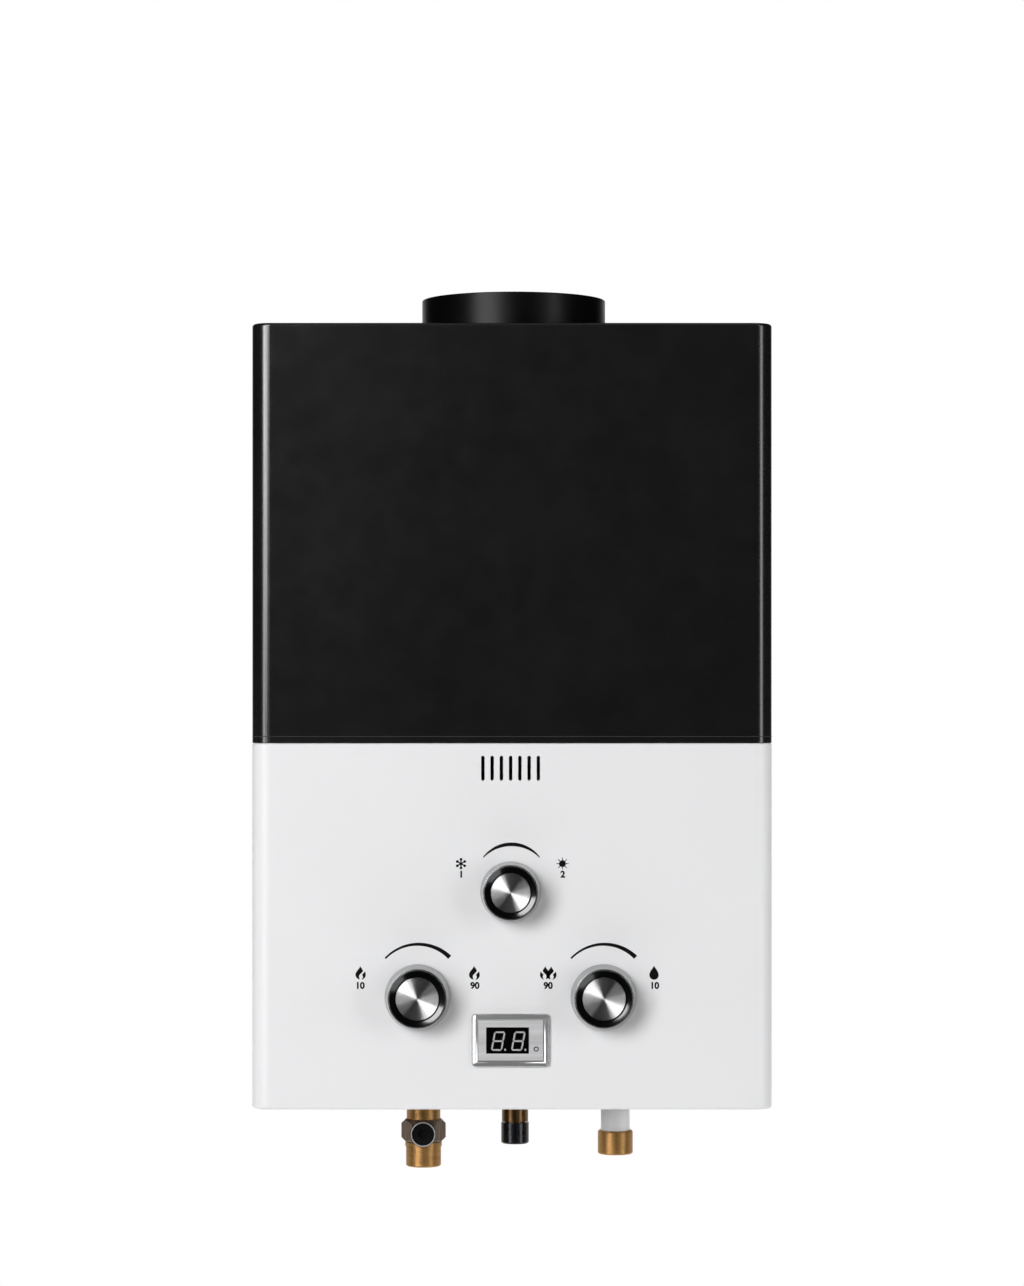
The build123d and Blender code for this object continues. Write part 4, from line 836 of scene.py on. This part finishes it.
class HEATER_OT_finishes(bpy.types.Operator):
    """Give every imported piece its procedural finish"""

    bl_idname = "heater.finishes"
    bl_label = "Finishes"

    def execute(self, context):
        coat = context.scene.heater_paint
        turned = (1, 1, 30)
        finishes = {
            "galvanised": galvanised(),
            "black_coat": paint("satin_black_coat", tuple(coat.black), 0.2, 0.004, 0.2, shine=0.8),
            "white_coat": paint("white_coat", tuple(coat.white), 0.38, 0.008, 0.006),
            "gloss_black": paint("gloss_black_enamel", tuple(coat.gloss), 0.34, 0.004, 0.1, 0.001, 0.17),
            "screw_steel": metal("screw_steel", (0.55, 0.55, 0.56), 0.28, (1, 1, 1), 0.003),
            "copper": copper(),
            "black_plastic": moulded("black_plastic", (0.018, 0.018, 0.019), 0.45),
            "burner_steel": heat_tinted(),
            "cast_aluminium": cast_aluminium(),
            "brass": weathered_brass("brass", (0.54, 0.31, 0.115), (0.33, 0.145, 0.04), 0.42, turned),
            "aged_brass": tee_brass(),
            "dark_brass": weathered_brass(
                "dark_brass", (0.20, 0.12, 0.055), (0.08, 0.038, 0.012), 0.31, turned
            ),
            "ceramic": glazed_ceramic(),
            "rubber": moulded("rubber", (0.02, 0.02, 0.02), 0.7, 0.02, 900.0),
            "spring_steel": metal("spring_steel", (0.50, 0.50, 0.50), 0.3, (1, 1, 1), 0.002),
            "black_steel": metal("black_steel", (0.05, 0.052, 0.056), 0.27, (6, 6, 0.3), 0.006),
            "white_nylon": moulded("white_nylon", (0.94, 0.94, 0.94), 0.4, 0.006),
            "dark_plug": moulded("dark_plug", (0.003, 0.003, 0.0035), 0.3, 0.004),
            "cell_steel": cell_jacket(),
            "chrome": plating("satin_plating", (0.33, 0.335, 0.34), 0.22, 0.8),
            "bright_plating": plating("bright_plating", (0.6, 0.605, 0.61), 0.18, 0.72),
            "brushed_plate": brushed_plate(),
            "display_black": moulded(
                "display_black", (0.0012, 0.0012, 0.0012), 0.16, 0.001, Specular_IOR_Level=0.3
            ),
            "board": circuit_board(),
            "knob_black": moulded(
                "knob_black", (0.001, 0.001, 0.001), 0.12, 0.001, 900.0, Specular_IOR_Level=0.9
            ),
            "spun_aluminium": metal("turned_aluminium", (0.70, 0.70, 0.71), 0.3, turned, 0.003),
        }
        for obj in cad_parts.values():
            slot = obj.data.materials[0].name
            obj.material_slots[0].material = finishes[slot].material
        for slot, finish in finishes.items():
            finish.material["slot"] = slot
        return {"FINISHED"}


def material_of(slot):
    """The material that the finishes operator made for a slot."""
    for material in bpy.data.materials:
        if material.get("slot") == slot:
            return material
    raise RuntimeError(f"no finish is made for {slot}")


class HEATER_OT_knobs(bpy.types.Operator):
    """Make the three knobs: plated skirt, glossy dished ring and spun cap"""

    bl_idname = "heater.knobs"
    bl_label = "Knobs"

    def execute(self, context):
        sizes = context.scene.heater_knobs
        for knob in ("gas", "water", "season"):
            self.make(knob, sizes.crown_inset / MM, sizes.dish_drop / MM)
        return {"FINISHED"}

    def make(self, knob, inset, dish_drop):
        """One knob; each profile gives (radius, height over the cover's face) in millimetres."""
        skirt_low, skirt_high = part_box(f"{knob}_knob_skirt")
        ring_low, ring_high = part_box(f"{knob}_knob_ring")
        cap_low, cap_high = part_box(f"{knob}_knob_cap")
        middle = middle_of(f"{knob}_knob_skirt")
        centre = Vector((middle.x, FRONT, middle.z))
        base = (skirt_high.x - skirt_low.x) / 2 / MM
        wall = (ring_high.x - ring_low.x) / 2 / MM
        cap = (cap_high.x - cap_low.x) / 2 / MM
        foot = (FRONT - skirt_high.y) / MM
        lip = (FRONT - skirt_low.y) / MM
        web = (FRONT - ring_high.y) / MM
        crown = (FRONT - ring_low.y) / MM
        face = (FRONT - cap_low.y) / MM - CAP_SINK
        bore = 3.0
        hub = 6.0
        sheet = 1.6
        play = 0.05
        skirt = rounded([
            (bore, foot, 0),
            (hub, foot, 0.2),
            (hub, web - sheet, 0.2),
            (wall - 1.5, web - sheet, 0.4),
            (base - sheet, foot + 1.3, 0.4),
            (base - sheet, foot, 0.2),
            (base, foot, 0.2),
            (base, foot + 1.4, 1.0),
            (wall + 0.7, lip, 0.5),
            (wall + play, lip + 0.1, 0.1),
            (wall + play, web, 0),
            (bore, web, 0),
        ])
        floor = crown - dish_drop
        edge = rounded([(wall, web, 0), (wall, crown, inset * 0.9), (wall - inset, crown, 0)], False)
        dish = [
            (wall - inset - 0.12, crown - 0.01),
            (cap + 0.95, floor + 0.06),
            (cap + 0.6, floor),
            (cap + 0.12, floor),
            (cap + 0.02, floor),
            (cap + 0.02, web),
        ]
        disc = [(0, web), (cap, web), (cap, face - 0.02), (cap - 0.02, face), (cap - 0.1, face), (0, face)]
        spun = spun_metal(f"{knob}_spun_cap", centre).material
        for part, profile, material, slot, node in (
            ("skirt_turned", skirt, material_of("chrome"), "chrome", "skirt"),
            ("ring_turned", edge + dish, material_of("knob_black"), "knob_black", "ring"),
            ("cap_spun", disc, spun, "spun_aluminium", "cap"),
        ):
            mesh = turned_piece(part, profile, centre)
            show(f"{knob}_{part}", mesh, material, f"{knob}_knob", slot, f"{knob}_knob_{node}")


class HEATER_OT_print(bpy.types.Operator):
    """Print the curved marks, pictograms and plain numbers on the lower cover"""

    bl_idname = "heater.panel_print"
    bl_label = "Panel print"

    def execute(self, context):
        settings = context.scene.heater_print
        sunk = 0.01 * MM
        plane = FRONT - settings.thickness / 2 + sunk
        gas, water, season = [middle_of(f"{knob}_knob_cap") / MM for knob in ("gas", "water", "season")]
        marks = [
            swept_wedge((knob.x + 0.2, knob.z + 4.6), radius=26.3, start=136.8, end=45.2, width=self.growing)
            for knob in (gas, water)
        ]
        middle = (season.x + 0.5, season.z + 6.1)
        marks.append(swept_wedge(middle, radius=21.6, start=139.5, end=40.5, width=self.swelling))
        row = gas.z + 14.2
        upper = season.z + 16.4
        for part in flame_outlines():
            marks.append(placed(part, -88.5, row, 0.96))
            marks.append(placed(part, -22.0, row))
            marks.append([(19.3 - 0.94 * x, row + 0.94 * z) for x, z in part])
            marks.append(placed(part, 23.0, row - 0.1, 0.94))
        marks.append(placed(drop_outline(), 83.0, row))
        marks += [placed(outline, 29.5, upper) for outline in sun_outlines()]
        marks += [placed(outline, -29.8, upper) for outline in snow_outlines()]
        meshes = [flat_marks([outline], plane, settings.thickness / MM) for outline in marks]
        under_row = row - 7.6
        under_upper = upper - 6.4
        for text, x, z in (
            ("10", -88.8, under_row),
            ("90", -21.7, under_row),
            ("90", 21.1, under_row),
            ("10", 83.3, under_row),
            ("1", -29.7, under_upper),
            ("2", 29.7, under_upper),
        ):
            meshes.append(self.number(text, x, z, settings, plane))
        show("panel_print", joined("panel_print", *meshes), print_ink().material, "casing", "white_coat")
        return {"FINISHED"}

    def growing(self, share):
        """The thickness of a mark that grows from its start to its end."""
        return 1.1 + 1.5 * share ** 1.2

    def swelling(self, share):
        """The thickness of a mark that is thickest in its middle."""
        return 0.65 + 1.5 * math.sin(math.pi * share)

    def number(self, text, x, z, settings, plane):
        """A printed number, with its middle at x, z in millimetres."""
        capital_share = 0.72
        curve = bpy.data.curves.new("number", "FONT")
        curve.body = text
        curve.align_x = "CENTER"
        curve.align_y = "CENTER"
        curve.size = settings.digit_height / capital_share
        curve.extrude = settings.thickness / 2
        curve.offset = settings.digit_height * 0.06
        mesh = stood_up(curve, plane)
        mesh.transform(Matrix.Translation((x * MM, 0, z * MM)))
        return mesh


class HEATER_OT_display(bpy.types.Operator):
    """Make the plated display frame, the window's digits and the degree ring"""

    bl_idname = "heater.display"
    bl_label = "Display"

    def execute(self, context):
        self.surround()
        self.digits(context.scene.heater_display)
        self.degree_ring()
        return {"FINISHED"}

    def surround(self):
        """The bevelled frame; its profile gives (inset from the outer edge, height over the face)."""
        low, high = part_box("display_bezel")
        plate_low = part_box("display_plate")[0]
        centre = (low + high) / 2
        half_x = (high.x - low.x) / 2 / MM
        half_z = (high.z - low.z) / 2 / MM
        border = (plate_low.x - low.x) / MM
        proud = (FRONT - low.y) / MM
        plate = (FRONT - plate_low.y) / MM
        tail = -9.0
        wall = 0.85
        profile = rounded([
            (0, 0.02, 0),
            (0.1, proud - 1.2, 0.3),
            (0.7, proud - 0.6, 0.3),
            (2.45, proud, 0.3),
            (border - 0.25, plate + 0.12, 0.05),
            (border, plate - 0.1, 0.05),
            (border, tail, 0),
            (border - wall, tail, 0),
            (border - wall, 0.02, 0),
        ])
        rings = []
        bm = bmesh.new()
        for inset, reach in profile:
            ring = []
            for quarter, (side_x, side_z) in enumerate(CORNERS):
                round_part = max(FRAME_CORNER - inset, 0.0)
                square_part = FRAME_CORNER + max(inset - FRAME_CORNER, 0.0)
                for step in range(9):
                    turn = math.pi / 2 * (quarter + step / 8)
                    x = side_x * (half_x - square_part) + round_part * math.cos(turn)
                    z = side_z * (half_z - square_part) + round_part * math.sin(turn)
                    ring.append(bm.verts.new((centre.x + x * MM, FRONT - reach * MM, centre.z + z * MM)))
            rings.append(ring)
        bridge(bm, rings)
        mesh = as_mesh(bm, "display_frame")
        show("display_frame", mesh, material_of("bright_plating"), "casing", "chrome", "display_bezel")

    def digits(self, settings):
        """Two slanted digits with all their segments and points, on the window's face."""
        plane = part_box("display_module")[0].y - MARK_LIFT * MM
        foot = -195.4
        stroke = settings.stroke / MM
        half = (settings.digit_height / MM - stroke) / 2
        run = settings.digit_width / MM - stroke
        marks = []
        for left in (-12.45, -0.7):
            grid = {}
            for row in (0, 1, 2):
                for column in (0, 1):
                    z = stroke / 2 + half * row
                    grid[column, row] = (left + stroke / 2 + run * column + settings.slant * z, foot + z)
            flat = [((0, row), (1, row)) for row in (0, 1, 2)]
            upright = [((column, row), (column, row + 1)) for column in (0, 1) for row in (0, 1)]
            marks += [self.segment(grid[start], grid[end], stroke / 2) for start, end in flat + upright]
            marks.append(circle(0.6, left + run + stroke + 1.85, foot + 0.6, 24))
        mesh = joined("display_digits", flat_marks(marks, plane, MARK_THICKNESS))
        show("display_digits", mesh, segment_grey().material, "casing", "display_black")

    def segment(self, start, end, half):
        """A thin bar with pointed ends between two corners of a digit; half is half its width."""
        gap = 0.12
        whole = math.dist(start, end)
        along = ((end[0] - start[0]) / whole, (end[1] - start[1]) / whole)
        points = []
        for reach, side in (
            (gap, 0),
            (gap + half, half),
            (whole - gap - half, half),
            (whole - gap, 0),
            (whole - gap - half, -half),
            (gap + half, -half),
        ):
            x = start[0] + along[0] * reach - along[1] * side
            z = start[1] + along[1] * reach + along[0] * side
            points.append((x, z))
        return points

    def degree_ring(self):
        """The printed ring beside the window."""
        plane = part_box("display_plate")[0].y - MARK_LIFT * MM
        rims = [circle(radius, 14.1, -194.4) for radius in (1.5, 0.95)]
        mesh = joined("degree_ring", flat_marks(rims, plane, MARK_THICKNESS))
        show("degree_ring", mesh, print_ink().material, "casing", "brushed_plate")


class HEATER_OT_fastenings(bpy.types.Operator):
    """Make the screws with their cross recesses, the seam's dark cord that paints the shadow line between
    the covers, and the gas valve's spring
    """

    bl_idname = "heater.fastenings"
    bl_label = "Fastenings"

    def execute(self, context):
        sizes = context.scene.heater_fastenings
        tree = screw_tree(material_of("screw_steel"))
        self.side_screws(sizes, tree)
        self.collar_screws(sizes, tree)
        self.cord(sizes)
        self.spring(sizes)
        return {"FINISHED"}

    def side_screws(self, sizes, tree):
        """The eight screws that hold the covers, four on each side."""
        low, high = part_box("cover_screws")
        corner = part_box("upper_cover")[1]
        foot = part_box("lower_cover")[0].z
        seam = self.seam()
        radius = (high.y - low.y) / 2
        inset = corner.z - high.z + radius
        points = []
        facings = []
        for level in (foot + inset, seam - inset, seam + inset, corner.z - inset):
            for side in (-1, 1):
                points.append((side * corner.x, (low.y + high.y) / 2, level))
                facings.append((side, 0, 0))
        mesh = grown(seats(points, facings), tree, {
            "Head radius": radius,
            "Head height": high.x - corner.x,
            "Recess width": sizes.recess_width,
            "Recess depth": sizes.recess_depth,
        })
        mesh = joined("side_screws", mesh)
        show("side_screws", mesh, material_of("screw_steel"), "casing", "screw_steel", "cover_screws")

    def collar_screws(self, sizes, tree):
        """The four screws that hold the flue collar, with the side screws' head radius."""
        side_low, side_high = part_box("cover_screws")
        radius = (side_high.y - side_low.y) / 2
        low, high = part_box("collar_screws")
        middle = middle_of("collar_screws")
        seat = high.z - COLLAR_HEAD * MM
        reach = (high.x - low.x) / 2 - radius
        points = [(middle.x + x * reach, middle.y + y * reach, seat) for x, y in CORNERS]
        mesh = grown(seats(points, [(0, 0, 1)] * 4), tree, {
            "Head radius": radius,
            "Head height": high.z - seat,
            "Shank length": seat - low.z,
            "Recess width": sizes.recess_width,
            "Recess depth": sizes.recess_depth * 0.6,
        })
        show("collar_pan_screws", mesh, material_of("screw_steel"), "casing", "screw_steel", "collar_screws")

    def seam(self):
        """The height of the seam between the covers."""
        return (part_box("upper_cover")[0].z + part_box("lower_cover")[1].z) / 2

    def spring(self, sizes):
        """Wind the gas valve's spring."""
        low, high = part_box("gas_spring")
        middle = middle_of("gas_spring")
        wire = sizes.spring_wire
        seat = seats([(low.x + wire, middle.y, middle.z)], [(1, 0, 0)])
        mesh = grown(seat, spring_tree(material_of("spring_steel")), {
            "Wire radius": wire,
            "Coil radius": (high.z - low.z) / 2 - wire,
            "Spring length": high.x - low.x - 2 * wire,
        })
        obj = show(
            "gas_spring_wound", mesh, material_of("spring_steel"), "casing", "spring_steel", "gas_spring"
        )
        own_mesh(obj)

    def cord(self, sizes):
        """Lay the dark cord round both sides and the front, in the gap between the covers: painted shade,
        standing in for the shadow line of the seam.
        """
        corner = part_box("upper_cover")[1]
        level = self.seam()
        wide = corner.x - sizes.shade_cord_depth
        back = corner.y - 2 * MM
        bend = EDGE_ROUND * MM - sizes.shade_cord_depth
        middle_y = FRONT + EDGE_ROUND * MM
        line = [(-wide, back, level)]
        for middle_x, start in ((bend - wide, math.pi), (wide - bend, 1.5 * math.pi)):
            for step in range(13):
                turn = start + math.pi / 24 * step
                line.append((middle_x + bend * math.cos(turn), middle_y + bend * math.sin(turn), level))
        line.append((wide, back, level))
        base = bpy.data.meshes.new("seam_line")
        base.from_pydata(line, [(i, i + 1) for i in range(len(line) - 1)], [])
        # Painted shade: the dark rubber finish makes this cord the shadow line in the seam.
        mesh = grown(base, shade_cord_tree(material_of("rubber")), {"Shade cord radius": sizes.shade_cord_radius})
        show("seam_shade_cord", mesh, material_of("rubber"), "casing", "rubber")


class HEATER_OT_studio(bpy.types.Operator):
    """Set the camera, the softboxes, the surroundings and the floor"""

    bl_idname = "heater.studio"
    bl_label = "Studio"

    def execute(self, context):
        settings = context.scene.heater_studio
        self.camera(context)
        self.world(context, settings.ambient)
        for name, turn, tilt, distance, size, radiance in (
            ("key_softbox", 147, 35, 3.0, (1.6, 1.35), settings.key),
            ("second_softbox", 35, 48, 3.0, (0.7, 0.6), settings.second),
            ("low_softbox", -52, 35, 3.0, (0.9, 0.9), settings.low),
            ("left_strip", 180, 44, 1.8, (1.35, 0.32), settings.left),
            ("right_strip", 0, 53, 1.8, (1.35, 0.42), settings.right),
            ("ceiling_softbox", 90, 75, 1.9, (1.6, 0.9), settings.ceiling),
            ("left_bounce", 180, 88, 2.0, (1.4, 1.4), settings.bounce * 0.4),
            ("right_bounce", 0, 88, 2.0, (1.4, 1.4), settings.bounce),
            ("floor_bounce", -90, 77, 1.2, (1.6, 0.8), settings.bounce * 0.5),
        ):
            self.softbox(name, math.radians(turn), math.radians(tilt), distance, size, radiance)
        self.floor()
        context.scene.view_settings.view_transform = "Standard"
        return {"FINISHED"}

    def camera(self, context):
        """The camera at the photograph's place, level and straight in front."""
        data = bpy.data.cameras.new("camera")
        data.sensor_fit = "AUTO"
        data.sensor_width = 24.0
        data.lens = 70.26
        data.shift_y = 0.0505
        data.clip_end = 100.0
        camera = bpy.data.objects.new("camera", data)
        camera.location = (0.0, -2.33, 0.0048)
        camera.rotation_euler = (math.pi / 2, 0, 0)
        context.scene.collection.objects.link(camera)
        context.scene.camera = camera

    def softbox(self, name, turn, tilt, distance, size, radiance):
        """A softbox, tilt off the front axis and turned about it; its width is tangential.

        A bounce is a softbox that doesn't show in gloss."""
        data = bpy.data.lights.new(name, "AREA")
        data.shape = "RECTANGLE"
        data.size, data.size_y = size
        data.energy = radiance * 4 * size[0] * size[1]
        away = Vector((math.sin(tilt) * math.cos(turn), -math.cos(tilt), math.sin(tilt) * math.sin(turn)))
        across = Vector((-math.sin(turn), 0, math.cos(turn)))
        lamp = bpy.data.objects.new(name, data)
        lamp.matrix_world = (
            Matrix.Translation(Vector((0, FRONT, 0)) + away * distance)
            @ Matrix((across, away.cross(across), away)).transposed().to_4x4()
        )
        lamp.visible_glossy = not name.endswith("bounce")
        bpy.context.scene.collection.objects.link(lamp)

    def world(self, context, ambient):
        """White behind the object, dim in front, and white wherever the camera sees it."""
        world = bpy.data.worlds.new("surroundings")
        world.use_nodes = True
        context.scene.world = world
        tree = world.node_tree
        tree.nodes.clear()
        facing = add_node(tree, "ShaderNodeTexCoord").outputs["Generated"]
        depth = add_node(tree, "ShaderNodeSeparateXYZ", {0: facing}).outputs[1]
        inputs = {"Value": depth, "From Min": 0.78, "From Max": 0.98, "To Min": ambient, "To Max": 1.0}
        behind = add_node(tree, "ShaderNodeMapRange", inputs, interpolation_type="SMOOTHSTEP").outputs[0]
        rays = add_node(tree, "ShaderNodeLightPath").outputs
        strength = add_node(tree, "ShaderNodeMix", {0: rays["Is Camera Ray"], 2: behind, 3: 1.0}).outputs[0]
        light = add_node(tree, "ShaderNodeBackground", {0: (1, 1, 1), 1: strength}).outputs[0]
        add_node(tree, "ShaderNodeOutputWorld", {0: light})

    def floor(self):
        """A wide pale floor below the hung heater."""
        half, near, level = 12.0, -0.8, -1.3
        mesh = bpy.data.meshes.new("floor")
        corners = [(-half, near, level), (half, near, level), (half, half, level), (-half, half, level)]
        mesh.from_pydata(corners, [], [(0, 1, 2, 3)])
        mesh.materials.append(self.floor_paint())
        floor = bpy.data.objects.new("floor", mesh)
        bpy.context.scene.collection.objects.link(floor)

    def floor_paint(self):
        """Pale grey; white to the camera, through glass, and in gloss where it lies behind the object."""
        material = bpy.data.materials.new("pale_floor")
        material.use_nodes = True
        tree = material.node_tree
        tree.nodes.clear()

        def maths(operation, first, second):
            """One sum on two numbers."""
            return add_node(tree, "ShaderNodeMath", {0: first, 1: second}, operation=operation).outputs[0]

        rays = add_node(tree, "ShaderNodeLightPath").outputs
        place = add_node(tree, "ShaderNodeTexCoord").outputs["Object"]
        depth = add_node(tree, "ShaderNodeSeparateXYZ", {0: place}).outputs[1]
        behind = maths("GREATER_THAN", depth, 0.0)
        glossy = maths("MULTIPLY", rays["Is Glossy Ray"], behind)
        seen = maths("MAXIMUM", rays["Is Camera Ray"], rays["Is Transmission Ray"])
        share = maths("MAXIMUM", seen, glossy)
        pale = add_node(tree, "ShaderNodeBsdfDiffuse", {0: (0.7, 0.7, 0.7)}).outputs[0]
        white = add_node(tree, "ShaderNodeEmission").outputs[0]
        both = add_node(tree, "ShaderNodeMixShader", {0: share, 1: pale, 2: white}).outputs[0]
        add_node(tree, "ShaderNodeOutputMaterial", {0: both})
        return material


class HEATER_PT_panel(bpy.types.Panel):
    """Lists the heater's sizes, colours and pieces"""

    bl_idname = "HEATER_PT_panel"
    bl_label = "Wall heater"
    bl_space_type = "VIEW_3D"
    bl_region_type = "UI"
    bl_category = "Heater"

    def draw(self, context):
        for name, group in GROUPS.items():
            box = self.layout.box()
            box.label(text=group.__name__)
            for field in group.__annotations__:
                box.prop(getattr(context.scene, name), field)
        for step in STEPS:
            self.layout.operator(step.bl_idname)


GROUPS = {
    "heater_paint": HeaterPaint,
    "heater_knobs": HeaterKnobs,
    "heater_print": HeaterPrint,
    "heater_display": HeaterDisplay,
    "heater_fastenings": HeaterFastenings,
    "heater_studio": HeaterStudio,
}
STEPS = (
    HEATER_OT_finishes,
    HEATER_OT_knobs,
    HEATER_OT_print,
    HEATER_OT_display,
    HEATER_OT_fastenings,
    HEATER_OT_studio,
)


def register():
    for group in GROUPS.values():
        bpy.utils.register_class(group)
    for name, group in GROUPS.items():
        setattr(bpy.types.Scene, name, bpy.props.PointerProperty(type=group))
    for step in (*STEPS, HEATER_PT_panel):
        bpy.utils.register_class(step)


def unregister():
    for step in (HEATER_PT_panel, *reversed(STEPS)):
        bpy.utils.unregister_class(step)
    for name, group in GROUPS.items():
        delattr(bpy.types.Scene, name)
        bpy.utils.unregister_class(group)


def main():
    register()
    bpy.ops.heater.finishes()
    bpy.ops.heater.knobs()
    bpy.ops.heater.panel_print()
    bpy.ops.heater.display()
    bpy.ops.heater.fastenings()
    bpy.ops.heater.studio()


if __name__ == "__main__":
    main()
